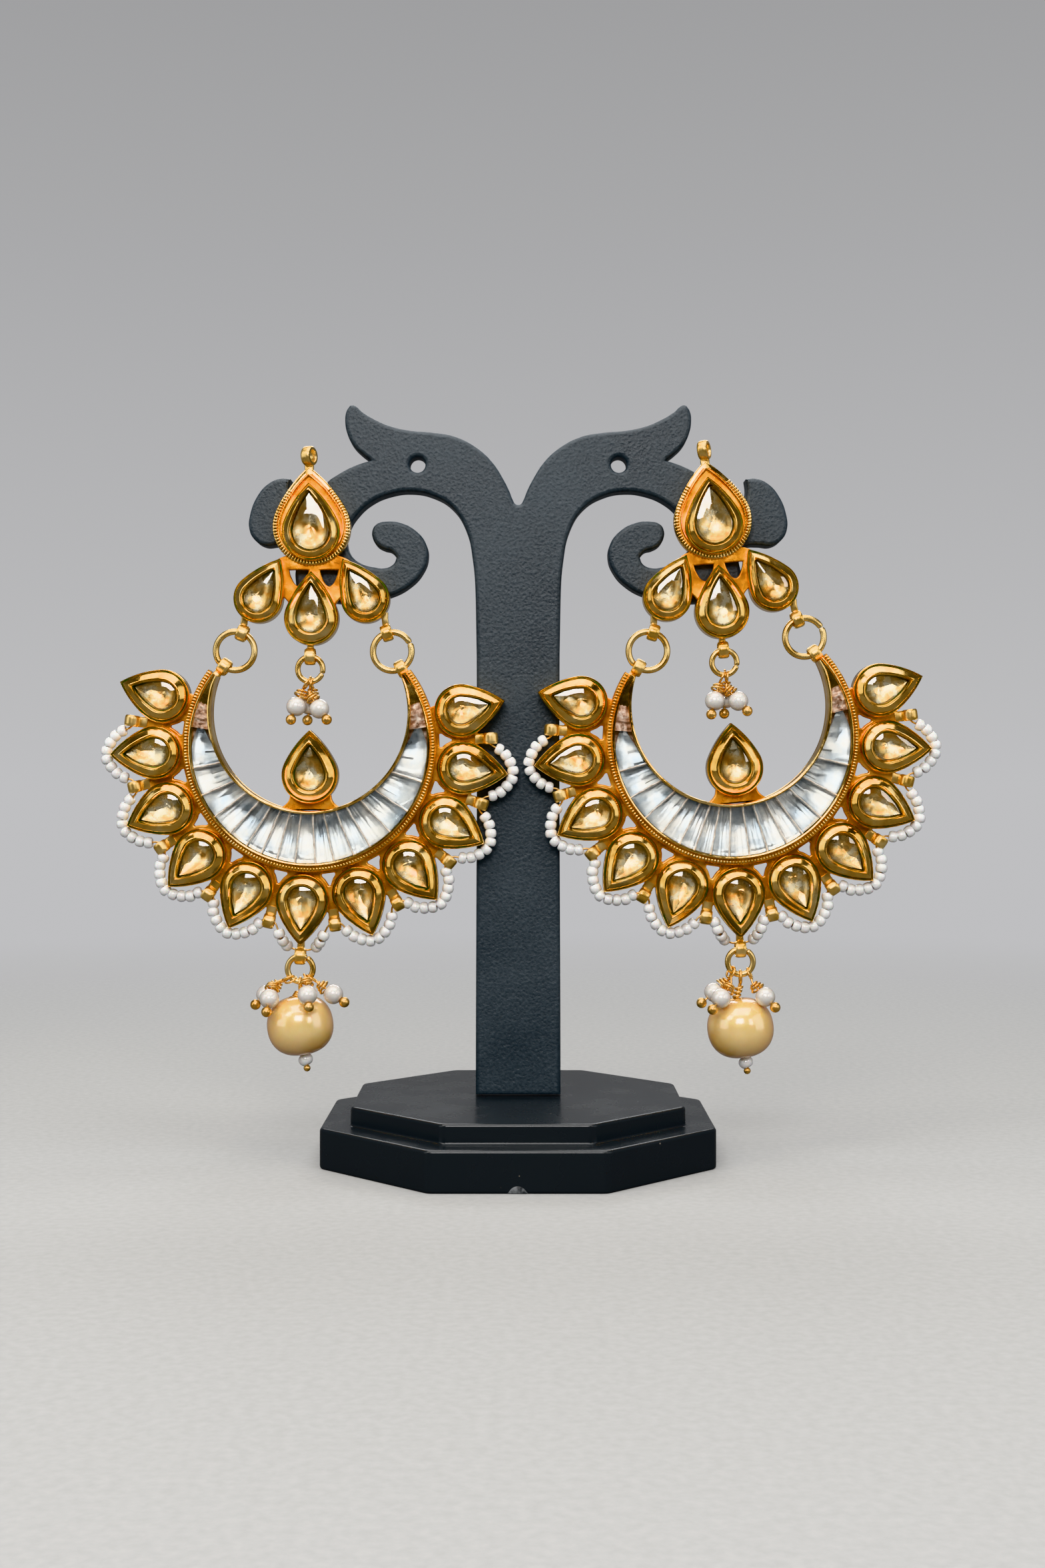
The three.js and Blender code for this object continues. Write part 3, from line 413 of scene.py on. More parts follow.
def cut_slab(loops, low, high, edge, sharp_turn=50, resolution=6, finish=0):
    """A slab with rounded edges, cut to outlines that run smoothly except at sharp corners."""
    curve = bpy.data.curves.new("slab", "CURVE")
    curve.dimensions = "2D"
    curve.fill_mode = "BOTH"
    curve.resolution_u = resolution
    curve.extrude = (high - low) / 2 - edge
    curve.bevel_depth = edge
    curve.bevel_resolution = 3
    curve.offset = -edge
    for loop in loops:
        spline = curve.splines.new("BEZIER")
        spline.bezier_points.add(len(loop) - 1)
        spline.use_cyclic_u = True
        for k, (knot, here) in enumerate(zip(spline.bezier_points, loop)):
            before = Vector(here) - Vector(loop[k - 1])
            after = Vector(loop[(k + 1) % len(loop)]) - Vector(here)
            sharp = before.angle(after) > math.radians(sharp_turn)
            knot.co = (here[0], here[1], 0)
            knot.handle_left_type = "VECTOR" if sharp else "AUTO"
            knot.handle_right_type = "VECTOR" if sharp else "AUTO"
    made = bpy.data.objects.new("slab", curve)
    scene.collection.objects.link(made)
    shown = bpy.context.evaluated_depsgraph_get()
    mesh = bpy.data.meshes.new_from_object(made.evaluated_get(shown))
    bpy.data.objects.remove(made)
    middle = (low + high) / 2
    points = [v.co + Vector((0, 0, middle)) for v in mesh.vertices]
    return points, [tuple(face.vertices) for face in mesh.polygons], finish


grained_plastic, add, dress = finish_of("grained_slate_plastic")
spot = add("TexCoord", "Object")
cloudy = add("TexNoise", "Fac", Vector=spot, Scale=90, Detail=4)
hide = add("TexNoise", "Fac", Vector=spot, Scale=3200, Detail=3, Roughness=0.6, Distortion=0.6)
cells = add("TexVoronoi", "Distance", Vector=spot, Scale=2300, feature="SMOOTH_F1")
height = add("Mix", "Result", data_type="FLOAT", Factor=0.45, A=hide, B=cells)
grain = add("Bump", "Normal", Height=height, Strength=1.0, Distance=0.00012)
# The plate's tone follows a cloudy noise and the grain's height, so the grain's creases come out darker:
# painted crease shade.
mottle = add("Mix", "Result", data_type="FLOAT", Factor=0.55, A=cloudy, B=height)
grain_tone_with_painted_crease_shade = ramp(add, mottle, (0.34, (0.027, 0.037, 0.047)), (0.64, (0.061, 0.078, 0.093)))
rough = graded(add, cloudy, 0.3, 0.7, 0.40, 0.52)
dress(Base_Color=grain_tone_with_painted_crease_shade, Roughness=rough, Normal=grain)

plate_low, plate_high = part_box("stand_plate")
slab = cut_slab(outlines("stand_plate"), -plate_high.y / MM, -plate_low.y / MM, 0.55)
plate = piece(
    "stand_plate_slab", [slab], [grained_plastic], "stand", "stand_plate",
    place=facing(), corner=60,
)
applied(plate, "WEIGHTED_NORMAL", mode="FACE_AREA", keep_sharp=True)

# Top piece, back plate: a pear-shaped plate stamped with a ribbed edge and a
# raised line in a satin groove. The main cup is soldered on it, and its ear
# post goes back through the stand's hook.

HINGE_HEIGHT = 5.02
HINGE_DEPTH = 1.3


def hang(side):
    """The frame of one earring: origin between the two ends of its crescent, at the back."""
    swing = next(j for j in frame["joints"] if j["name"] == f"{side}_crescent_swing")
    across = -Vector(swing["axis"])
    up = Vector((0, -1, 0)).cross(across)
    origin = Vector(swing["pos_m"]) / MM - HINGE_HEIGHT * up + Vector((0, HINGE_DEPTH, 0))
    return facing(origin.x, origin.z, origin.y, math.degrees(math.atan2(across.z, across.x)))


FULLNESS = 13


def pear(radius, tip, z=0.0, side_steps=9, round_steps=34):
    """A pear outline: from its tip down one full side, round its end and up the other side."""
    turn_in = math.acos(radius / tip) + math.radians(FULLNESS)
    reach = (tip ** 2 - radius ** 2) / (2 * (radius - tip * math.cos(turn_in)))
    middle = Vector((reach * math.sin(turn_in), -reach * math.cos(turn_in)))
    first = math.atan2(tip - middle.y, -middle.x)
    last = math.pi / 2 + turn_in
    side = []
    for k in range(side_steps + 1):
        angle = first + (last - first) * k / side_steps
        x = middle.x + (radius + reach) * math.cos(angle)
        y = middle.y + (radius + reach) * math.sin(angle)
        side.append(Vector((x, y, z)))
    side[0] = Vector((0, tip, z))
    around = []
    for k in range(1, round_steps):
        angle = last + (2 * math.pi - 2 * turn_in) * k / round_steps
        around.append(Vector((radius * math.cos(angle), radius * math.sin(angle), z)))
    other = [Vector((-p.x, p.y, z)) for p in reversed(side[1:])]
    return side + around + other


def hung(side, name, shapes, finishes, body, stands_for, place=None, corner=32):
    """A piece of one earring: its side goes before its own name and those of its body and its node."""
    rides_on = body if body == "stand" else f"{side}_{body}"
    place = place or hang(side)
    return piece(f"{side}_{name}", shapes, finishes, rides_on, f"{side}_{stands_for}", place, corner)


def moved(shape, x, y, degrees, z=0.0):
    """A shape turned about its own origin and put in its place."""
    place = Matrix.Translation((x, y, z)) @ Matrix.Rotation(math.radians(degrees), 4, "Z")
    return [place @ Vector(point) for point in shape[0]], shape[1], shape[2]


def along(path, spacing):
    """Evenly spaced (point, direction) pairs along a path."""
    lengths = [(b - a).length for a, b in zip(path, path[1:])]
    total = sum(lengths)
    count = max(1, round(total / spacing))
    found = []
    k, passed = 0, 0.0
    for step in range(count + 1):
        wanted = min(total * step / count, total - 1e-9)
        while passed + lengths[k] < wanted:
            passed += lengths[k]
            k += 1
        leg = path[k + 1] - path[k]
        found.append((path[k] + leg * ((wanted - passed) / lengths[k]), leg.normalized()))
    return found


def all_round(count):
    """The (cosine, sine) of evenly spaced directions all the way round."""
    angles = [2 * math.pi * k / count for k in range(count)]
    return [(math.cos(angle), math.sin(angle)) for angle in angles]


def grains(path, spacing, size):
    """A row of raised grains along a path; size is (along, across, high)."""
    points, faces = [], []
    for spot, direction in along(path, spacing):
        axes = (direction, Vector((0, 0, 1)).cross(direction), Vector((0, 0, 1)))
        start = len(points)
        for row in range(5):
            tilt = math.pi * (row / 4 - 0.5) * 0.98
            for cosine, sine in all_round(8):
                step = (
                    cosine * math.cos(tilt) * size[0] / 2,
                    sine * math.cos(tilt) * size[1] / 2,
                    math.sin(tilt) * size[2],
                )
                points.append(spot + sum((a * s for a, s in zip(axes, step)), Vector()))
        for row in range(4):
            for k in range(8):
                a, b = start + row * 8 + k, start + row * 8 + (k + 1) % 8
                faces.append((a, b, b + 8, a + 8))
        faces.append(tuple(reversed(range(start, start + 8))))
        faces.append(tuple(range(start + 32, start + 40)))
    return points, faces, 0


def rod(path, radius, sides=12, finish=0):
    """A round wire along a path; radius may be one number or one for each point."""
    radii = radius if isinstance(radius, list) else [radius] * len(path)
    rings = []
    side = None
    for k, (spot, thick) in enumerate(zip(path, radii)):
        before = path[max(k - 1, 0)]
        after = path[min(k + 1, len(path) - 1)]
        direction = (after - before).normalized()
        if side is None:
            start = Vector((0, 0, 1)) if abs(direction.z) < 0.9 else Vector((1, 0, 0))
            side = direction.cross(start).normalized()
        side = (side - direction * side.dot(direction)).normalized()
        up = direction.cross(side)
        rings.append([spot + (side * cosine + up * sine) * thick for cosine, sine in all_round(sides)])
    return skin(rings, finish=finish)


polished_gold, add, dress = finish_of("polished_gold_plating")
spot = add("TexCoord", "Object")
wear = add("TexNoise", "Fac", Vector=spot, Scale=260, Detail=5, Roughness=0.65)
dents = add("TexNoise", "Fac", Vector=spot, Scale=620, Detail=2)
pits = add("TexVoronoi", "Distance", Vector=spot, Scale=1500)
tone = ramp(add, wear, (0.34, (0.62, 0.33, 0.08)), (0.50, (0.90, 0.56, 0.18)), (0.68, (1.0, 0.76, 0.38)))
gloss = graded(add, wear, 0.35, 0.72, 0.10, 0.24)
relief = add("Mix", "Result", data_type="FLOAT", Factor=0.25, A=dents, B=pits)
beaten = add("Bump", "Normal", Height=relief, Strength=0.4, Distance=0.00008)
dress(Base_Color=tone, Roughness=gloss, Normal=beaten, Metallic=1.0)

satin_gold = mottled(
    "satin_orange_gold", {"Scale": 420, "Detail": 4, "Roughness": 0.55},
    [(0.34, (0.58, 0.19, 0.015)), (0.52, (0.86, 0.36, 0.045)), (0.70, (0.97, 0.58, 0.16))],
    (0.20, 0.34), (0.4, 0.00012), Metallic=0.7,
)

PLATE_TURN = 2.6
PLATE_SPOT = (-0.1, 20.3)
plate_rings = [
    pear(5.6, 8.7, 0.0),
    pear(5.6, 8.7, 1.3),
    pear(5.54, 8.62, 1.5),
    pear(5.4, 8.4, 1.58),
    pear(5.02, 7.9, 1.58),
    pear(4.93, 7.8, 1.5),
    pear(4.75, 7.6, 1.5),
    pear(4.70, 7.54, 1.85),
    pear(4.60, 7.42, 1.95),
    pear(4.50, 7.3, 1.85),
    pear(4.44, 7.22, 1.55),
    pear(3.5, 5.6, 1.5),
]
plate_points, plate_faces, _ = skin(plate_rings)
plate_bands = [0, 0, 0, 0, 1, 1, 1, 0, 0, 1, 1]
plate_finish = [band for band in plate_bands for _ in plate_rings[0]] + [1, 1]
rib_path = pear(5.24, 8.2, 1.62)
ribs_from = next(k for k, p in enumerate(rib_path) if p.y < 5.4)
rib_path = rib_path[ribs_from:len(rib_path) + 1 - ribs_from]
GRAIN_PITCH = 0.44
POST_END = -10.0
post_path = [Vector((0, 0, z)) for z in (0.5, -9.0, -9.3, -9.42, -9.6, -9.72, -9.9, POST_END)]
post_radii = [0.45, 0.45, 0.45, 0.34, 0.34, 0.44, 0.36, 0.16]

for side in ("left", "right"):
    shapes = [
        moved((plate_points, plate_faces, plate_finish), *PLATE_SPOT, PLATE_TURN),
        moved(grains(rib_path, GRAIN_PITCH, (0.35, 0.84, 0.34)), *PLATE_SPOT, PLATE_TURN),
        moved(rod(post_path, post_radii), *PLATE_SPOT, 0),
    ]
    hung(side, "back_plate", shapes, [polished_gold, satin_gold], "stand", "top_frame")

# Stone cups: deep pear-shaped cups of thick gilded strip. Each has a bright
# outer lip, a narrow groove where old plating shows green and painted shade
# darkens it, and a broad rim that rises to the opening, then a steep inner
# wall down to the stone, whose lower part is painted dark as shade.

# outer wall radius and tip, opening radius and tip, stone radius and tip
CUPS = {
    "petal": (3.85, 6.45, 2.45, 4.8, 2.05, 4.05),
    "inner": (4.05, 6.5, 2.6, 4.75, 2.15, 4.05),
    "centre": (3.9, 6.75, 2.5, 5.3, 2.1, 4.7),
    "side": (3.5, 6.6, 2.35, 5.05, 1.95, 4.4),
    "main": (4.2, 7.0, 3.05, 5.95, 2.62, 5.45),
}
# share of the way from the outer wall to the opening, depth, finish of the band that follows
CUP_PROFILE = [
    (0.30, 0.0, 0), (0.13, 0.03, 0), (0.04, 0.12, 0), (0.0, 0.3, 0), (0.0, 2.42, 0), (0.03, 2.62, 0),
    (0.08, 2.7, 0), (0.12, 2.66, 1),
    (0.165, 2.44, 1), (0.23, 2.44, 1), (0.285, 2.74, 0), (0.36, 2.88, 0),
    (0.62, 3.15, 0), (0.84, 3.37, 0), (0.91, 3.44, 0), (0.97, 3.45, 0), (1.03, 3.37, 0),
    (1.12, 3.22, 0), (1.21, 3.05, 1), (1.30, 2.88, 1), (1.34, 2.7, 1), (1.36, 0.7, 0),
]


def stone_cup(kind, x, y, degrees):
    """A cup with its tip turned from upright by so many degrees."""
    radius, tip, open_radius, open_tip = CUPS[kind][:4]
    rings = []
    bands = []
    for share, depth, band in CUP_PROFILE:
        depth = max(depth, 0.4 + share * 0.1) if kind == "main" else depth
        wide = radius + (open_radius - radius) * share
        rings.append(pear(wide, tip + (open_tip - tip) * share, depth))
        bands += [band] * len(rings[0])
    points, faces, _ = skin(rings)
    return moved((points, faces, bands[:-len(rings[0])] + [0, 0]), x, y, degrees)


# Dark greenish gold for the cups' grooves and the lower inner walls: partly a green patina, partly painted
# shade that darkens these recesses.
green_patina_and_painted_recess_shade = mottled(
    "greenish_gold_with_painted_recess_shade", {"Scale": 420, "Detail": 4},
    [(0.36, (0.07, 0.14, 0.015)), (0.46, (0.24, 0.18, 0.03)), (0.60, (0.58, 0.34, 0.06))],
    (0.42, 0.24), spread=(0.35, 0.65), Metallic=1.0,
)

CRESCENT = (-0.26, -11.2)
PETAL_COUNT = 11
PETAL_STEP = 21.15
PETAL_MIDDLE = -2.8
PETAL_RING = 22.25
INNER_CUP_Y = -4.25


def on_round(radius, degrees, depth=0.0):
    """A point on a circle, by its angle from the lowest point towards the right."""
    angle = math.radians(degrees)
    return Vector((radius * math.sin(angle), -radius * math.cos(angle), depth))


def on_crescent(radius, degrees):
    """Where a point of the crescent's circles lies in its earring, as (x, y)."""
    spot = on_round(radius, degrees)
    return CRESCENT[0] + spot.x, CRESCENT[1] + spot.y


# cup, place of its round end, turn of its tip: the top piece's, then the crescent's
TOP_CUPS = {
    "main_stone": ("main", -0.1, 19.5, 2.6),
    "top_stone_left": ("side", -7.7, 9.9, -30),
    "top_stone_centre": ("centre", -0.05, 7.1, 0),
    "top_stone_right": ("side", 7.7, 9.9, 30),
}
CRESCENT_CUPS = {"inner_stone": ("inner", CRESCENT[0], CRESCENT[1] + INNER_CUP_Y, 0)}
for order in range(PETAL_COUNT):
    angle = PETAL_MIDDLE + (order - 5) * PETAL_STEP
    CRESCENT_CUPS[f"petal_stone_{order + 1:02d}"] = ("petal", *on_crescent(PETAL_RING, angle), 180 + angle)

for side in ("left", "right"):
    for name, cups, body, stands_for in (
        ("top_cups", TOP_CUPS, "stand", "top_frame"),
        ("crescent_cups", CRESCENT_CUPS, "crescent", "crescent_frame"),
    ):
        shapes = [stone_cup(*cup) for cup in cups.values()]
        hung(side, name, shapes, [polished_gold, green_patina_and_painted_recess_shade], body, stands_for, corner=38)

# Champagne stones: pear-cut glass with a flat table, closed at the back with
# crinkled champagne foil, and pressed down into the cups.

GIRDLE = 2.80
CROWN = [(1.0, GIRDLE, 0), (0.70, 2.95, 0.5), (0.68, 2.955, 0.5)]
PAVILION = [(1.0, 2.52, 0), (0.77, 2.35, 0.5), (0.46, 2.14, 0), (0.17, 2.05, 0.5), (0.04, 2.04, 0)]
DEEPEST_SHARE = 0.26
FOIL_CRINKLE = 0.02


def facetted_pear(radius, tip, z, shift=0.0, sides=7):
    """A pear outline in straight facets, its corners shifted by part of a facet."""
    fine = pear(radius, tip, z, 12, 48)
    count = len(fine)
    return [fine[round(count * (k + shift) / (2 * sides)) % count] for k in range(2 * sides)]


def pear_stone(kind, x, y, degrees, rng):
    """A stone: clear crown above its girdle, foiled facets below it, deepest above its middle."""
    radius, tip = CUPS[kind][4:]
    lean = math.radians(degrees)
    up = Vector((math.sin(lean), math.cos(lean), 0)) * DEEPEST_SHARE * radius
    rings = []
    for share, z, shift in reversed(PAVILION):
        ring = facetted_pear(radius * share, tip * share, z, shift)
        lift = 0 if share == 1.0 else FOIL_CRINKLE
        shifted = up * (1 - share)
        rings.append([point + shifted + Vector((0, 0, rng.uniform(-lift, lift))) for point in ring])
    rings += [facetted_pear(radius * share, tip * share, z, shift) for share, z, shift in CROWN]
    shifts = [shift for _, _, shift in reversed(PAVILION)] + [shift for _, _, shift in CROWN]
    count = len(rings[0])
    points = [point for ring in rings for point in ring]
    faces, bands = [], []
    for k in range(len(rings) - 1):
        foiled = 1 if k < len(PAVILION) else 0
        for i in range(count):
            j = (i + 1) % count
            a, b, c, d = k * count + i, k * count + j, (k + 1) * count + i, (k + 1) * count + j
            faces += [(a, b, d), (a, d, c)] if shifts[k] > shifts[k + 1] else [(a, b, c), (b, d, c)]
            bands += [foiled, foiled]
    faces.append(tuple(reversed(range(count))))
    faces.append(tuple(range(len(points) - count, len(points))))
    return moved((points, faces, bands + [1, 0]), x, y, degrees)


stone_glass = mottled(
    "champagne_glass", {"Scale": 900, "Detail": 4},
    [(0.3, (1.0, 0.93, 0.84)), (0.7, (1.0, 0.97, 0.93))], (0.0, 0.10), spread=(0.45, 0.75),
    Transmission_Weight=1.0, IOR=1.52, Coat_Weight=1.0, Coat_Roughness=0.02, Coat_IOR=1.62,
)
warm_foil = mottled(
    "champagne_foil", {"Scale": 600, "Detail": 3, "Roughness": 0.6},
    [(0.32, (0.94, 0.49, 0.13)), (0.47, (1.0, 0.75, 0.35)), (0.62, (1.0, 0.95, 0.75))],
    (0.19, 0.31), (0.25, 0.00003), Metallic=0.94,
)

rng = random.Random(7)
for side in ("left", "right"):
    for body, cups in (("stand", TOP_CUPS), ("crescent", CRESCENT_CUPS)):
        for name, cup in cups.items():
            hung(
                side, f"{name}_cut", [pear_stone(*cup, rng)], [stone_glass, warm_foil], body,
                name, corner=9,
            )

# Top piece, web and loops: a cast satin web with two small openings joins the
# plate to the three lower cups. Loops of polished flat strip are soldered to
# the plate's tip and under the cups.

WEB_OUTLINE = [
    (4.3, 16.0), (5.9, 14.6), (5.8, 12.0), (3.6, 9.6), (2.6, 8.0),
    (-2.6, 8.0), (-3.6, 9.6), (-5.8, 12.0), (-5.9, 14.6), (-4.3, 16.0),
]
WEB_HOLE = [
    (-1.15, 14.1), (0, 14.15), (1.15, 14.1), (0.95, 13.2), (0.15, 11.8), (-0.15, 11.8), (-0.95, 13.2),
]
# a loop's outer radius, hole radius and width
BAIL = (1.42, 0.80, 1.35)
EYELET = (1.23, 0.85, 1.5)
FLARE = 0.12
EYELET_DEPTH = 1.3
BAIL_SPOT = (-0.45, 30.45, BAIL[0])
CENTRE_RING_TOP = (-0.3, 1.62, EYELET_DEPTH)
LINK_RADIUS = 2.775
# x of the upper eyelet, its turn, and the lower eyelet's turn
LINKS = {"left": (-10.07, -21.8, 34.5), "right": (10.7, 16.7, -27.5)}

loop_gold = mottled(
    "gilt_loop_strip", {"Scale": 500, "Detail": 2},
    [(0.35, (0.80, 0.48, 0.13)), (0.65, (1.0, 0.74, 0.34))], (0.26, 0.38), (0.3, 0.00003), Metallic=0.95,
)


def strip_loop(size, spot, degrees, swing=0.0):
    """A domed strip bent into a loop with a flared hole, swung aside and then turned."""
    outer, hole, width = size
    x, y, depth = spot
    half = width / 2
    section = [(hole + FLARE * abs(share) ** 3, half * share) for share in (-1, -0.8, -0.5, 0, 0.5, 0.8, 1)]
    for k in range(9):
        across = 1 - k / 4
        softened = 0.04 if k in (0, 8) else 0
        section.append((outer - FLARE * abs(across) ** 5 - softened, half * across))
    aside = Matrix.Rotation(math.radians(swing), 4, "Y")
    rings = []
    for cosine, sine in all_round(36):
        rings.append([aside @ Vector((w, r * sine, r * cosine)) for r, w in section])
    return moved(skin(rings, closed=True, finish=2), x, y, degrees, depth)


def solder_neck(size, spot, degrees, reach, width):
    """The strip's two ends soldered together and on to the metal beside the loop."""
    x, y, depth = spot
    start = size[0] - FLARE
    rings = []
    for share, wide, thick in ((0, 0.86, 0.30), (0.15, 0.90, 0.42), (0.5, 0.84, 0.46), (1, 1.1, 0.5)):
        middle = Vector((0, start + (reach - start) * share, -0.3))
        ring = []
        for direction in all_round(20):
            x_share, z_share = (math.copysign(abs(part) ** 0.5, part) for part in direction)
            ring.append(middle + Vector((x_share * width / 2 * wide, 0, z_share * thick)))
        rings.append(ring)
    return moved(skin(rings, finish=2), x, y, degrees, depth)


def soldered_loop(size, spot, degrees, neck_degrees, reach, width, swing=0.0):
    """A strip loop with the neck that holds it."""
    return [strip_loop(size, spot, degrees, swing), solder_neck(size, spot, neck_degrees, reach, width)]


def link_layout(which):
    """Where a link ring's upper eyelet, centre and lower eyelet lie, and the eyelets' turns."""
    top_x, top_turn, low_turn = LINKS[which]
    top = Vector((top_x, HINGE_HEIGHT, EYELET_DEPTH))
    centre = top + LINK_RADIUS * on_round(1, top_turn)
    low = centre + LINK_RADIUS * on_round(1, -low_turn)
    return top, centre, low, top_turn, -low_turn


top_loops = soldered_loop(BAIL, BAIL_SPOT, 0, 180, reach=2.6, width=1.5, swing=-24)
top_loops += soldered_loop(EYELET, CENTRE_RING_TOP, 0, 0, reach=2.2, width=1.1)
for which, lean in (("left", -8), ("right", 8)):
    top, _, _, turn, _ = link_layout(which)
    top_loops += soldered_loop(EYELET, top, turn, lean, reach=2.9, width=1.1)

holes = [[(x * wide + middle, y) for x, y in WEB_HOLE] for middle, wide in ((-1.95, 1.25), (2.4, 1.15))]
top_web = cut_slab([WEB_OUTLINE, *holes], 0.3, 1.25, 0.16, sharp_turn=60, resolution=8, finish=1)

for side in ("left", "right"):
    hung(
        side, "top_web", [top_web, *top_loops], [polished_gold, satin_gold, loop_gold], "stand",
        "top_frame",
    )

# Ear nut: a plain turned nut with a thin flange, pushed on the ear post to
# hold the top piece against the stand.


def turned(profile, steps=40):
    """A turned shape about the z axis, from (radius, height) pairs all round its section."""
    rings = []
    for cosine, sine in all_round(steps):
        rings.append([Vector((r * cosine, r * sine, h)) for r, h in profile])
    return skin(rings, closed=True)


NUT_DEPTH = -4.65
nut_profile = [
    (0.62, 0.0), (2.85, 0.0), (2.97, -0.08), (3.0, -0.25), (3.0, -0.62), (2.93, -0.82), (2.8, -0.9),
    (1.95, -0.95), (1.76, -1.1), (1.7, -1.35), (1.7, -1.6), (1.58, -1.66), (1.58, -1.78), (1.7, -1.84),
    (1.7, -2.35), (1.6, -2.54), (1.4, -2.6), (0.8, -2.6), (0.62, -2.5),
]
ear_nut = moved(turned(nut_profile), *PLATE_SPOT, 0, NUT_DEPTH)
for side in ("left", "right"):
    hung(side, "turned_ear_nut", [ear_nut], [polished_gold], "stand", "ear_nut")

# Link rings and centre rings: round gilt wire bent into open jump rings, with
# the cut ends pinched almost shut. They join the crescent to the top piece.

ring_wire = mottled(
    "gilt_ring_wire", {"Scale": 420, "Detail": 2},
    [(0.35, (0.80, 0.50, 0.16)), (0.65, (0.96, 0.72, 0.34))], (0.22, 0.34), (0.3, 0.00002), Metallic=1.0,
)


def open_ring(radius, wire, centre, cut):
    """A wire ring with its cut ends nearly closed at an angle from the lowest point."""
    path = [centre + on_round(radius, cut + 1.0 + 358 * k / 60) for k in range(61)]
    thick = [wire * 0.75] + [wire] * 59 + [wire * 0.75]
    return rod(path, thick, 14)


LINK_WIRE = 0.46
SMALL_RING = 1.8
SMALL_WIRE = 0.40
CENTRE_RING_SPOT = Vector((CENTRE_RING_TOP[0], CENTRE_RING_TOP[1] - SMALL_RING, EYELET_DEPTH))
for side in ("left", "right"):
    for which, cut in (("left", -48), ("right", 115)):
        ring = open_ring(LINK_RADIUS, LINK_WIRE, link_layout(which)[1], cut)
        hung(side, f"{which}_link", [ring], [ring_wire], "crescent", f"link_ring_{which}")
    ring = open_ring(SMALL_RING, SMALL_WIRE, CENTRE_RING_SPOT, 70)
    hung(side, "small_ring", [ring], [ring_wire], "stand", "centre_ring")

# Small pearls: off-white imitation pearls on gilt headpins with ball ends. The
# soft wire makes an eye on its ring and two or three wraps on the pearl's top.

PIN_WIRE = 0.16
SMALL_PEARL = 1.4
SMALL_BALL = 0.75
DRILL_WIDTH = 0.32
WRAPS = 2.6
WRAP_LENGTH = 1.25
EYE_RADIUS = 0.84


def ball(centre, radius, axis=Vector((0, 0, 1)), squash=1.0, dimple=0.0, finish=0, steps=(28, 18)):
    """A ball, or a flattened one with drilled dimples, about its own axis."""
    turn = Vector((0, 0, 1)).rotation_difference(axis.normalized())
    rings = []
    for row in range(steps[1] + 1):
        tilt = math.pi * (row / steps[1] - 0.5)
        flat = abs(math.cos(tilt)) ** (0.86 if dimple else 1.0)
        high = math.sin(tilt) * squash * radius
        if dimple:
            high -= math.copysign(dimple * radius * math.exp(-((flat * radius / DRILL_WIDTH) ** 2)), tilt)
        wide = max(flat * radius, 0.01)
        ring = [Vector((wide * cosine, wide * sine, high)) for cosine, sine in all_round(steps[0])]
        rings.append([centre + turn @ point for point in ring])
    return skin(rings, finish=finish)


def wrapped_pearl(ring_centre, ring_radius, angle, offset, pearl, end):
    """A small pearl hanging on a ring: its wire eye, wraps, pearl and end ball."""
    hook = ring_centre + on_round(ring_radius, angle + offset)
    pearl = ring_centre + Vector(pearl)
    end = ring_centre + Vector(end)
    axis = (end - pearl).normalized()
    neck = pearl - axis * (SMALL_PEARL + WRAP_LENGTH)
    down = (neck - hook).normalized()
    tangent = Vector((math.cos(math.radians(angle)), math.sin(math.radians(angle)), 0))
    cross = tangent.cross(down).normalized()
    middle = hook + down * (EYE_RADIUS / 2)
    eye = [middle + (down * math.cos(t) + cross * math.sin(t)) * EYE_RADIUS
           for t in (2 * math.pi * k / 32 for k in range(33))]
    first = axis.orthogonal().normalized()
    second = axis.cross(first)
    count = round(WRAPS * 18)
    coil = []
    for k in range(count + 1):
        share = k / count
        turn = 2 * math.pi * WRAPS * share
        spot = neck + axis * (1.18 * share + 0.02)
        wide = 0.42 + 0.56 * share ** 0.7
        coil.append(spot + (first * math.cos(turn) + second * math.sin(turn)) * wide)
    stem = bend(middle + down * EYE_RADIUS, (middle + neck) / 2 + down * 0.3, neck, 6)
    return [
        rod(eye, PIN_WIRE, 10, 1),
        rod(stem + [pearl - axis * SMALL_PEARL * 0.9], PIN_WIRE, 10, 1),
        rod(coil, PIN_WIRE, 10, 1),
        ball(pearl, SMALL_PEARL, axis, 0.97, 0.10),
        rod([pearl + axis * 1.2, end], PIN_WIRE, 10, 1),
        ball(end, SMALL_BALL, axis, 1.0, 0.0, 1, (24, 16)),
    ]


def pearly(name, edge_blend, tones, noise, cloud, cloud_share, bump, **constants):
    """A pearl's finish: its tone deepens towards the outline, partly the lustre's own colour and partly
    painted shade, under a faint cloudy mottle.
    """
    material, add, dress = finish_of(name)
    # The tone darkens towards the outline by facing alone: partly lustre colour, partly painted edge shade.
    lustre_and_painted_edge_shade = ramp(add, add("LayerWeight", "Facing", Blend=edge_blend), *tones)
    mottle = add("TexNoise", "Fac", Vector=add("TexCoord", "Object"), **noise)
    colour = add(
        "Mix", "Result", data_type="RGBA", blend_type="MULTIPLY", Factor=cloud_share,
        A=lustre_and_painted_edge_shade, B=ramp(add, mottle, (0.3, cloud), (0.7, (1.0, 1.0, 1.0))),
    )
    strength, distance = bump
    skin_bump = add("Bump", "Normal", Height=mottle, Strength=strength, Distance=distance)
    dress(Base_Color=colour, Normal=skin_bump, Coat_Weight=1.0, **constants)
    return material


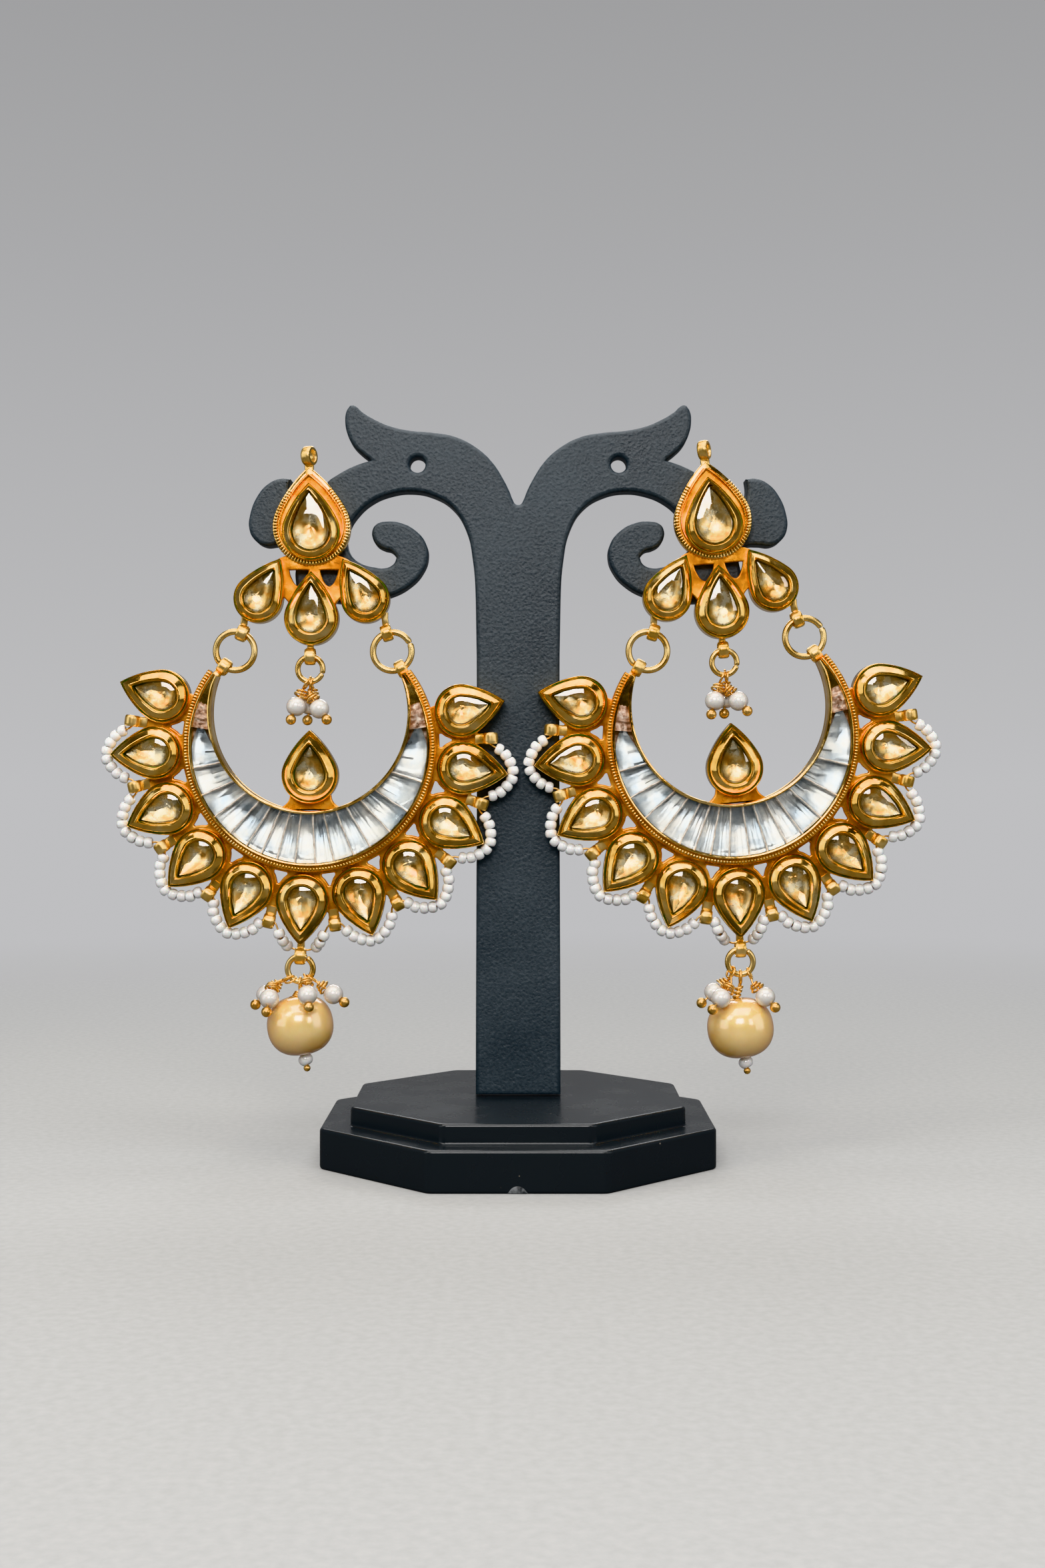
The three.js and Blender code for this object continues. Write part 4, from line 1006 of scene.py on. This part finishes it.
# Its tone darkens to tan towards the outline: painted edge shade.
white_pearl = pearly(
    "off_white_pearl", 0.45,
    [(0.0, (0.77, 0.75, 0.72)), (0.5, (0.66, 0.62, 0.57)), (1.0, (0.44, 0.35, 0.28))],
    {"Scale": 900, "Detail": 3}, (0.86, 0.84, 0.84), 0.35, (0.15, 0.00003),
    Roughness=0.30, Coat_Roughness=0.14, Coat_IOR=1.9, Subsurface_Weight=0.1, Subsurface_Scale=0.0006,
    Sheen_Weight=0.15,
)
pin_wire = mottled(
    "gilt_pin_wire", {"Scale": 420, "Detail": 2},
    [(0.35, (0.82, 0.44, 0.12)), (0.65, (0.96, 0.66, 0.28))], (0.26, 0.38), Metallic=1.0,
)

# pearl, then its end ball, from the centre of the ring that they hang on
CENTRE_PEARLS = [
    ((-1.95, -5.4, 0.7), (-2.65, -7.3, 1.1)),
    ((1.4, -5.75, 0.9), (2.5, -7.3, 1.3)),
    ((-0.2, -5.2, -1.6), (-0.55, -7.3, -1.2)),
]
for side in ("left", "right"):
    shapes = []
    for order, (pearl, end) in enumerate(CENTRE_PEARLS):
        shapes += wrapped_pearl(CENTRE_RING_SPOT, SMALL_RING, 0, (-9, 9, 0)[order], pearl, end)
    hung(
        side, "centre_pearl_cluster", shapes, [white_pearl, pin_wire], "stand",
        "centre_pearls", corner=60,
    )

# Crescent channel: a deep gilt channel that tapers to two horns, with a thin
# bright inner rim and a low ledge outside that carries a row of grains. The
# ends of its bed are filled with crumpled lac.

HORN_ANGLE = 127
BED_OUTER = 16.9
CHANNEL_OUTER = 18.1
STONE_END = 103
INNER_RADIUS = 14.1
INNER_SHIFT = 4.7
RIM = 0.45
BED_FLOOR = 1.6
HORN_FLOOR = 3.25
LAC_FOOT = 1.7
LEDGE_RING = 17.68
LEDGE_DEPTH = 3.0


def inner_edge(degrees):
    """Distance from the crescent's centre to its inner edge, by angle from the lowest point."""
    shift = -INNER_SHIFT * math.cos(math.radians(degrees))
    return shift + math.sqrt(shift ** 2 + INNER_RADIUS ** 2 - INNER_SHIFT ** 2)


def rim_width(degrees):
    """Width of the inner rim, which narrows with the bed towards the horns."""
    return min(RIM, (BED_OUTER - inner_edge(degrees)) / 2)


def steps_between(first, last, count):
    """Evenly spaced values, both ends included."""
    return [first + (last - first) * k / count for k in range(count + 1)]


channel_angles = steps_between(-HORN_ANGLE, HORN_ANGLE, 150)
channel_rings = []
for angle in channel_angles:
    inner = inner_edge(angle)
    rim = rim_width(angle)
    floor = BED_FLOOR if abs(angle) < STONE_END + 8 else HORN_FLOOR
    section = [
        (inner + 0.1, 0.0), (inner, 0.1), (inner + 0.02, 0.55), (inner - 0.03, 0.7), (inner + 0.02, 0.85),
        (inner, 1.0), (inner, 3.82), (inner + 0.06, 3.95), (inner + rim * 0.45, 4.0),
        (inner + rim * 0.85, 3.94), (inner + rim, 3.8), (inner + rim + 0.02, floor),
        (BED_OUTER - 0.02, floor), (BED_OUTER, 3.42), (BED_OUTER + 0.08, 3.56), (BED_OUTER + 0.2, 3.6),
        (BED_OUTER + 0.32, 3.56), (BED_OUTER + 0.4, 3.42), (BED_OUTER + 0.42, 3.02),
        (CHANNEL_OUTER - 0.1, 2.98), (CHANNEL_OUTER - 0.02, 2.86), (CHANNEL_OUTER, 0.1),
        (CHANNEL_OUTER - 0.1, 0.0),
    ]
    channel_rings.append([on_round(radius, angle, depth) for radius, depth in section])
# finish of each strip of the section: gold, satin gold on the ledge, lac on the bed's floor
bed_bands = [0] * 11 + [2] + [0] * 5 + [1] * 5 + [0]
horn_bands = [0] * 17 + [1] * 5 + [0]
channel_bands = []
for angle in channel_angles[:-1]:
    channel_bands += bed_bands if abs(angle) < STONE_END + 7 else horn_bands
channel_points, channel_faces, _ = skin(channel_rings)
channel = moved((channel_points, channel_faces, channel_bands + [0, 0]), *CRESCENT, 0)

lac = mottled(
    "pinkish_lac", {"Scale": 1500, "Detail": 4},
    [(0.32, (0.24, 0.11, 0.06)), (0.5, (0.56, 0.37, 0.27)), (0.68, (0.84, 0.72, 0.62))],
    (0.28, 0.6), (0.8, 0.00012),
)


def lac_plug(sign, rng):
    """The crumpled lump of lac beyond the last stone."""
    rings = []
    for k, angle in enumerate(steps_between(STONE_END - 4, STONE_END + 9, 13)):
        near = inner_edge(angle) + rim_width(angle) - 0.02
        far = BED_OUTER + 0.02
        top = 3.0 if angle < STONE_END + 1 else 3.35 - 0.05 * abs(k - 8)
        ring = [on_round(near, sign * angle, LAC_FOOT), on_round(near, sign * angle, top - 0.2)]
        for share in (0.25, 0.5, 0.75):
            lift = top + rng.uniform(-0.22, 0.26)
            ring.append(on_round(near + (far - near) * share, sign * angle, lift))
        ring += [on_round(far, sign * angle, top - 0.15), on_round(far, sign * angle, LAC_FOOT)]
        rings.append(ring)
    return moved(skin(rings, finish=2), *CRESCENT, 0)


ledge_angles = steps_between(-HORN_ANGLE + 1, HORN_ANGLE - 1, 200)
ledge = [on_round(LEDGE_RING, angle, LEDGE_DEPTH) for angle in ledge_angles]
ledge_grains = moved(grains(ledge, GRAIN_PITCH, (0.36, 0.66, 0.32)), *CRESCENT, 0)

# Crescent web and loops: a cast satin web, pierced between the cups, fills the
# space round them. Strip loops for the bead thread stand between the petals,
# and two more are soldered to the horns' ends.

BEAD_EYELET = (1.08, 0.66, 1.6)
BEAD_DEPTH = 1.3
BEAD_EYELET_RING = 25.9
BOTTOM_EYELET_RING = 30.3
HORN_NECK = 124
WEB_OUTER = 24.1
WEB_INNER = 17.6

web_end = 5 * PETAL_STEP + 5
web_arc = steps_between(PETAL_MIDDLE - web_end, PETAL_MIDDLE + web_end, 60)
web_outline = [on_round(WEB_OUTER, angle) for angle in web_arc]
web_outline += [on_round(WEB_INNER, angle) for angle in reversed(web_arc)]
web_loops = [[(p.x, p.y) for p in web_outline]]
# one opening of the web, as (ring, angle) from the middle of the gap between two cups
opening = [(18.55, 2.75), (18.75, 3.0), (19.35, 1.75), (20.3, 0.35)]
opening += [(radius, -offset) for radius, offset in reversed(opening)]
crescent_loops = []
for gap in range(PETAL_COUNT - 1):
    angle = PETAL_MIDDLE + (gap - 4.5) * PETAL_STEP
    corners = [on_round(radius, angle + offset) for radius, offset in opening]
    web_loops.append([(p.x, p.y) for p in corners])
    spot = (*on_crescent(BEAD_EYELET_RING, angle), BEAD_DEPTH)
    crescent_loops += soldered_loop(BEAD_EYELET, spot, angle, angle, reach=2.2, width=1.75)
spot = (*on_crescent(BOTTOM_EYELET_RING, PETAL_MIDDLE), EYELET_DEPTH)
crescent_loops += soldered_loop(EYELET, spot, PETAL_MIDDLE, PETAL_MIDDLE, reach=2.8, width=1.2)
for which, sign in (("left", -1), ("right", 1)):
    _, _, low, _, low_turn = link_layout(which)
    horn_x, horn_y = on_crescent((inner_edge(HORN_NECK) + CHANNEL_OUTER) / 2, sign * HORN_NECK)
    towards = math.degrees(math.atan2(low.x - horn_x, horn_y - low.y))
    crescent_loops += soldered_loop(EYELET, low, low_turn, towards, reach=2.6, width=1.25)
web_slab = cut_slab(web_loops, 0.35, 1.28, 0.2, sharp_turn=62, resolution=5, finish=1)
crescent_web = moved(web_slab, *CRESCENT, 0)

bridge = [(-2.9, -6.9), (-3.2, -8.0), (-4.9, -9.3), (4.9, -9.3), (3.2, -8.0), (2.9, -6.9)]
inner_bridge = moved(cut_slab([bridge], 0.35, 1.6, 0.2, finish=1), *CRESCENT, 0)

for side in ("left", "right"):
    rng = random.Random(side)
    hung(
        side, "crescent_channel", [channel, ledge_grains, lac_plug(-1, rng), lac_plug(1, rng)],
        [polished_gold, satin_gold, lac], "crescent", "crescent_frame",
    )
    hung(
        side, "crescent_web", [crescent_web, inner_bridge, *crescent_loops],
        [polished_gold, satin_gold, loop_gold], "crescent", "crescent_frame",
    )

# Clear stones: sixteen tapered slips of clear glass, hollow-ground behind and
# backed with pleated silver foil, set edge to edge in the channel with thin
# lines of lac between.

STONE_JOINTS = [-103, -79, -65, -53, -42, -32, -24, -16, -7, 3, 12, 22, 31, 43, 56, 72, 103]
STONE_RING = 15.5
STONE_GAP = math.degrees(0.06 / 15)
END_STONE_FROM = 85
TAPER_FROM = 0.86
STONE_COLUMNS = 22
STONE_ROWS = 16
FOLDS = 12
DISH_BOTTOM = 1.85
DISH_EDGE = 2.6
BEVEL_DEPTH = 2.9
TOP_DEPTH = 3.12


def clear_stone_cut(start, end, rng):
    """One tapered stone: bevelled flat top of clear glass over a foiled, dished and pleated back."""
    tilt = (rng.uniform(-0.05, 0.05), rng.uniform(-0.05, 0.05))
    middle = (start + end) / 2
    centre = on_round((inner_edge(middle) + BED_OUTER) / 2, middle)
    centre += Vector((rng.uniform(-0.7, 0.7), rng.uniform(0.8, 1.8), 0))
    bowl = rng.uniform(0.032, 0.046)
    folds = [rng.uniform(-0.014, 0.014) for _ in range(FOLDS + 1)]
    pleat, pleat_end = rng.uniform(0.3, 0.7), rng.uniform(0.5, 0.75)
    pleat_slope, pleat_drop = rng.choice((-1, 1)) * rng.uniform(0.05, 0.11), rng.uniform(0.02, 0.10)
    wide = math.radians(end - start) * STONE_RING
    high = BED_OUTER - inner_edge(middle) - 0.5
    side_bevel, outer_bevel = min(0.4, 0.2 / wide), min(0.4, 0.5 / high)
    inner_bevel = min(0.5, rng.uniform(1.2, 2.4) / high)
    slant = rng.uniform(-0.8, 0.8) * inner_bevel
    us = [0] + steps_between(side_bevel, 1 - side_bevel, STONE_COLUMNS) + [1]
    vs = [0] + steps_between(inner_bevel, 1 - outer_bevel, STONE_ROWS) + [1]

    def spot_at(row, u):
        """Where a row's point lies in the channel; the end stones come to a point at the horns."""
        angle = start + STONE_GAP + (end - start - 2 * STONE_GAP) * u
        near = inner_edge(angle) + rim_width(angle) + 0.05
        far = BED_OUTER - 0.06
        to_horn = abs(angle) / STONE_END if abs(middle) > END_STONE_FROM else 0
        if to_horn > TAPER_FROM:
            half = (far - near) / 2 * (1 - 0.9 * ((to_horn - TAPER_FROM) / (1 - TAPER_FROM)) ** 1.5)
            near, far = (near + far) / 2 - half, (near + far) / 2 + half
        inside = 1 <= row <= STONE_ROWS + 1
        share = vs[row] + slant * (u - 0.5) * (1 - (row - 1) / STONE_ROWS) if inside else vs[row]
        return on_round(near + (far - near) * share, angle), share

    def press_into_foil(spot, u, share):
        """Lowers a point to the foil: a dish with fine folds and one wedge-shaped pleat."""
        k = min(FOLDS - 1, int(u * FOLDS))
        fold = folds[k] + (folds[k + 1] - folds[k]) * (u * FOLDS - k)
        across = (u - pleat) * wide
        reach = 0.32 * wide * (1 - share / pleat_end)
        spot.z = min(DISH_EDGE, DISH_BOTTOM + bowl * (spot - centre).length_squared) + fold
        if abs(across) < reach:
            spot.z += pleat_slope * across + pleat_drop * (reach - abs(across))

    points, faces, bands = [], [], []
    for layer in (0, 1):
        for row, v in enumerate(vs):
            for u in us:
                spot, share = spot_at(row, u)
                if not layer:
                    press_into_foil(spot, u, share)
                elif u in (0, 1) or v in (0, 1):
                    spot.z = BEVEL_DEPTH
                else:
                    spot.z = TOP_DEPTH + tilt[0] * (u - 0.5) + tilt[1] * (v - 0.5)
                points.append(spot)
    row, size = len(us), len(us) * len(vs)
    for layer in (0, 1):
        for j in range(len(vs) - 1):
            for i in range(row - 1):
                a = layer * size + j * row + i
                faces.append((a, a + 1, a + row + 1, a + row))
                bands.append(1 - layer)
    rim = list(range(row)) + [j * row + row - 1 for j in range(1, len(vs))]
    rim += list(range(size - 2, size - row - 1, -1)) + [j * row for j in range(len(vs) - 2, 0, -1)]
    for a, b in zip(rim, rim[1:] + rim[:1]):
        faces.append((a, b, b + size, a + size))
        bands.append(1)
    return moved((points, faces, bands), *CRESCENT, 0)


def lac_line(angle, rng):
    """The thin ridge of lac between two stones."""
    near = inner_edge(angle) + 0.4
    rings = []
    for k in range(9):
        radius = near + (BED_OUTER - 0.02 - near) * k / 8
        lean = rng.uniform(-0.05, 0.05)
        width = 0.10 + rng.uniform(-0.02, 0.05)
        lift = 3.10 + rng.uniform(-0.06, 0.06)
        swing = math.degrees(1 / radius)
        ring = []
        for across, depth in (
            (-1, LAC_FOOT), (-1, lift - 0.12), (0, lift), (1, lift - 0.12), (1, LAC_FOOT),
        ):
            ring.append(on_round(radius, angle + (lean + across * width) * swing, depth))
        rings.append(ring)
    return moved(skin(rings, finish=2), *CRESCENT, 0)


joint_lac = mottled(
    "pale_lac_in_joints", {"Scale": 1300, "Detail": 3},
    [(0.34, (0.60, 0.49, 0.40)), (0.5, (0.84, 0.75, 0.65)), (0.66, (0.97, 0.92, 0.85))], (0.3, 0.5),
)
silver_foil = mottled(
    "silver_foil", {"Scale": 300, "Detail": 5, "Roughness": 0.6},
    [(0.36, (0.42, 0.49, 0.55)), (0.50, (0.68, 0.72, 0.74)), (0.62, (0.94, 0.94, 0.91))],
    (0.27, 0.42), (0.35, 0.00006), Metallic=0.75,
)

clear_glass, add, dress = finish_of("clear_glass")
stretched = add(
    "Mapping", "Vector", Vector=add("TexCoord", "Object"), Rotation=(0.3, 0.9, 0.4), Scale=(1.0, 1.0, 14.0),
)
scuffs = add("TexNoise", "Fac", Vector=stretched, Scale=620, Detail=6, Roughness=0.7)
smear = graded(add, scuffs, 0.5, 0.72, 0.015, 0.20)
scratch = add("Bump", "Normal", Height=scuffs, Strength=0.25, Distance=0.00003)
tint = ramp(add, scuffs, (0.3, (0.95, 0.96, 0.95)), (0.7, (1.0, 0.99, 0.97)))
dress(Base_Color=tint, Roughness=smear, Normal=scratch, Transmission_Weight=1.0, IOR=1.5)

for side in ("left", "right"):
    rng = random.Random("clear " + side)
    shapes = [clear_stone_cut(a, b, rng) for a, b in zip(STONE_JOINTS, STONE_JOINTS[1:])]
    shapes += [lac_line(angle, rng) for angle in STONE_JOINTS[1:-1]]
    hung(
        side, "clear_stone_row", shapes, [clear_glass, silver_foil, joint_lac], "crescent",
        "crescent_stones", corner=14,
    )

# Bead fringe: pearl-white glass seed beads on one gold thread, which runs from
# loop to loop round the petals' tips. The drop's eyelet parts the middle loop.

BEAD_RADIUS = 0.87
BEAD_LENGTH = 1.25
BEAD_TIP_RING = 29.45
BEAD_SIDE_RING = 27.9
EYELET_CLEARANCE = 1.8
MIDDLE_GAP = 3.6
THREAD = 0.13
BEAD_COUNTS = {"left": [8, 8, 9, 9, 6, 8, 9, 8, 8], "right": [8, 8, 9, 8, 8, 9, 9, 8, 8]}


def bead_route(angle, at_bottom):
    """The thread's way round one petal, as a smooth fine path."""
    half = PETAL_STEP / 2
    if at_bottom:
        tip = [on_round(r, angle + a, -0.25) for r, a in ((29.3, -3.4), (29.6, 0), (29.3, 3.4))]
    else:
        tip = [on_round(BEAD_TIP_RING, angle, BEAD_DEPTH)]
    knots = [
        on_round(BEAD_EYELET_RING, angle - half, BEAD_DEPTH),
        on_round(BEAD_EYELET_RING, angle - half + EYELET_CLEARANCE, BEAD_DEPTH),
        on_round(BEAD_SIDE_RING, angle - half * 0.57, BEAD_DEPTH),
        *tip,
        on_round(BEAD_SIDE_RING, angle + half * 0.57, BEAD_DEPTH),
        on_round(BEAD_EYELET_RING, angle + half - EYELET_CLEARANCE, BEAD_DEPTH),
        on_round(BEAD_EYELET_RING, angle + half, BEAD_DEPTH),
    ]
    knots = [knots[0] * 2 - knots[1]] + knots + [knots[-1] * 2 - knots[-2]]
    path = []
    for a, b, c, d in zip(knots, knots[1:], knots[2:], knots[3:]):
        before, here, after = ((q - p).length ** 0.5 for p, q in ((a, b), (b, c), (c, d)))
        leave = ((b - a) / before - (c - a) / (before + here) + (c - b) / here) * here
        arrive = ((c - b) / here - (d - b) / (here + after) + (d - c) / after) * here
        for k in range(12):
            t = k / 12
            path.append(
                b * (2 * t ** 3 - 3 * t ** 2 + 1) + leave * (t ** 3 - 2 * t ** 2 + t)
                + c * (3 * t ** 2 - 2 * t ** 3) + arrive * (t ** 3 - t ** 2)
            )
    return path + [knots[-2]]


def at_length(path, wanted):
    """The point and direction at a length along a path."""
    for a, b in zip(path, path[1:]):
        leg = (b - a).length
        if wanted <= leg or b is path[-1]:
            return a + (b - a) * min(wanted / leg, 1), (b - a).normalized()
        wanted -= leg


def seed_bead(centre, axis, rng):
    """One seed bead: a small fat ring of glass, no two quite alike."""
    wide = BEAD_RADIUS * rng.uniform(0.95, 1.0)
    long = BEAD_LENGTH * rng.uniform(0.94, 1.02) / 2
    lean = Vector((rng.uniform(-0.12, 0.12), rng.uniform(-0.12, 0.12), rng.uniform(-0.12, 0.12)))
    turn = Vector((0, 0, 1)).rotation_difference((axis + lean).normalized())
    section = []
    for cosine, sine in all_round(14):
        bulge = 1.0 if cosine > 0 else 0.92
        section.append((wide * 0.60 + wide * 0.40 * cosine * bulge, long * sine))
    points, faces, finish = turned(section, 18)
    return [centre + turn @ point for point in points], faces, finish


def fringe(counts, rng):
    """The beads of the nine petals on their thread, so many to each petal."""
    shapes = []
    thread = []
    for order, count in enumerate(counts):
        at_bottom = order == 4
        gap = MIDDLE_GAP if at_bottom else 0
        path = bead_route(PETAL_MIDDLE + (order - 4) * PETAL_STEP, at_bottom)
        length = sum((b - a).length for a, b in zip(path, path[1:]))
        pitch = min(BEAD_LENGTH, (length - gap - 2.1) / count)
        thread += path[::3]
        for bead in range(count):
            side_gap = gap / 2 * (-1 if bead < count / 2 else 1)
            spot, axis = at_length(path, length / 2 + (bead + 0.5 - count / 2) * pitch + side_gap)
            shapes.append(seed_bead(spot, axis, rng))
    shapes.append(rod(thread, THREAD, 8, 1))
    return [moved(shape, *CRESCENT, 0) for shape in shapes]


seed_glass = mottled(
    "pearl_white_seed_glass", {"Scale": 420, "Detail": 3},
    [(0.34, (0.90, 0.89, 0.87)), (0.55, (0.94, 0.94, 0.94)), (0.72, (0.96, 0.97, 0.98))], (0.16, 0.30),
    Coat_Weight=1.0, Coat_Roughness=0.1, Coat_IOR=1.7, Subsurface_Weight=0.12, Subsurface_Scale=0.0007,
)

for side in ("left", "right"):
    shapes = fringe(BEAD_COUNTS[side], random.Random("beads " + side))
    hung(
        side, "seed_bead_fringe", shapes, [seed_glass, pin_wire], "crescent",
        "bead_fringe", corner=60,
    )

# Pearl drop: a ring of gilt wire through the bottom eyelet carries a big drum-
# shaped golden pearl on a headpin, with a seed pearl and ball end under it,
# and small pearls on wrapped wires to its left and right. It hangs plumb.

DROP_RING = 1.825
DROP_WIRE = 0.42
DROP_LENGTHS = {"left": 8.1, "right": 9.5}
BIG_PEARL = 4.75
BIG_HALF = 4.25
SEED_PEARL = 1.05
PEARL_LEAN = 9
DROP_PEARLS = {
    "left": {
        "left": [((-4.1, -4.0, 2.6), (-4.3, -5.7, 4.1)), ((-5.0, -3.8, -0.6), (-6.5, -5.2, -0.4))],
        "right": [((1.5, -3.3, 4.2), (1.8, -4.9, 5.2)), ((4.9, -3.5, 1.4), (6.5, -4.6, 1.8))],
    },
    "right": {
        "left": [((-3.1, -4.9, 3.0), (-4.4, -6.4, 3.9)), ((-3.8, -4.4, 0.0), (-5.6, -5.9, 0.2))],
        "right": [((3.3, -4.8, 2.2), (4.6, -6.2, 3.0))],
    },
}


def big_pearl(length):
    """The golden pearl, its cap, wire eye, seed pearl and end ball."""
    lean = math.radians(PEARL_LEAN)
    axis = Vector((math.sin(lean), -math.cos(lean), 0))
    centre = Vector((0, -length, 0))
    turn = Vector((0, 0, 1)).rotation_difference(-axis)
    rings = []
    for row in range(41):
        tilt = math.pi * (row / 40 - 0.5)
        flat = max(abs(math.cos(tilt)) ** 0.80, 0.002)
        high = math.copysign(abs(math.sin(tilt)) ** 0.92, tilt) * BIG_HALF
        high -= math.copysign(0.25 * math.exp(-((flat * BIG_PEARL / 0.5) ** 2)), tilt)
        wide = BIG_PEARL * flat
        ring = [Vector((wide * cosine, wide * sine, high)) for cosine, sine in all_round(56)]
        rings.append([centre + turn @ point for point in ring])
    crown = centre - axis * 4.15
    loop_end = Vector((0, -DROP_RING - 1.15, 0))
    eye = []
    for k in range(33):
        angle = 2 * math.pi * k / 32
        eye.append(Vector((0, -DROP_RING - 0.35 + 0.85 * math.cos(angle), 0.68 * math.sin(angle))))
    coil = []
    for k in range(43):
        share = k / 42
        spot = loop_end + (crown - loop_end) * (0.25 + 0.72 * share)
        angle = 6 * math.pi * share
        coil.append(spot + Vector((math.cos(angle), 0, math.sin(angle))) * 0.42)
    disc = [crown + axis * (0.12 - 0.3 * h) for h in (0, 0.4, 0.8, 1)]
    seed = centre + axis * (BIG_HALF + SEED_PEARL - 0.3)
    end = centre + axis * (BIG_HALF + 2 * SEED_PEARL - 0.1)
    seed_axis = Vector((0.5, -0.85, 0.25)).normalized()
    return [
        skin(rings),
        rod(eye, 0.22, 10, 1),
        rod([loop_end, crown + axis * 0.3], 0.24, 10, 1),
        rod(coil, 0.2, 8, 1),
        rod(disc, [0.75, 1.05, 0.95, 0.35], 28, 1),
        ball(seed, SEED_PEARL, seed_axis, 0.86, 0.16, 2),
        rod([seed, end], 0.2, 8, 1),
        ball(end, 0.5, axis, 1.0, 0.0, 1, (20, 14)),
    ]


# Its tone deepens to orange-brown towards the outline: partly lustre, partly painted edge shade.
golden_pearl = pearly(
    "golden_pearl_lustre_and_painted_edge_shade", 0.4,
    [(0.0, (1.0, 0.72, 0.33)), (0.45, (1.0, 0.62, 0.22)), (0.9, (0.84, 0.36, 0.06))],
    {"Scale": 700, "Detail": 5, "Roughness": 0.7}, (0.90, 0.87, 0.84), 0.5, (0.12, 0.00004),
    Roughness=0.34, Metallic=0.08, Coat_Roughness=0.16, Coat_IOR=2.35, Subsurface_Weight=0.6,
    Subsurface_Scale=0.003, Subsurface_Radius=(1.0, 0.6, 0.25),
)

for side in ("left", "right"):
    swing = next(j for j in frame["joints"] if j["name"] == f"{side}_drop_swing")
    hook = Vector(swing["pos_m"]) / MM
    place = facing(hook.x, hook.z - DROP_RING, hook.y)
    ring = open_ring(DROP_RING, DROP_WIRE, Vector(), 150)
    hung(side, "bottom_ring", [ring], [ring_wire], "drop", "drop_ring", place)
    hung(
        side, "golden_pearl_pin", big_pearl(DROP_LENGTHS[side]), [golden_pearl, pin_wire, seed_glass],
        "drop", "drop_pearl", place, corner=60,
    )
    for which, pearls in DROP_PEARLS[side].items():
        shapes = []
        for order, (pearl, end) in enumerate(pearls):
            angle = (-42 if which == "left" else 42) + (order - (len(pearls) - 1) / 2) * 16
            shapes += wrapped_pearl(Vector(), DROP_RING, angle, 0, pearl, end)
        hung(
            side, f"drop_pearl_cluster_{which}", shapes, [white_pearl, pin_wire], "drop",
            f"drop_small_pearls_{which}", place, corner=60,
        )
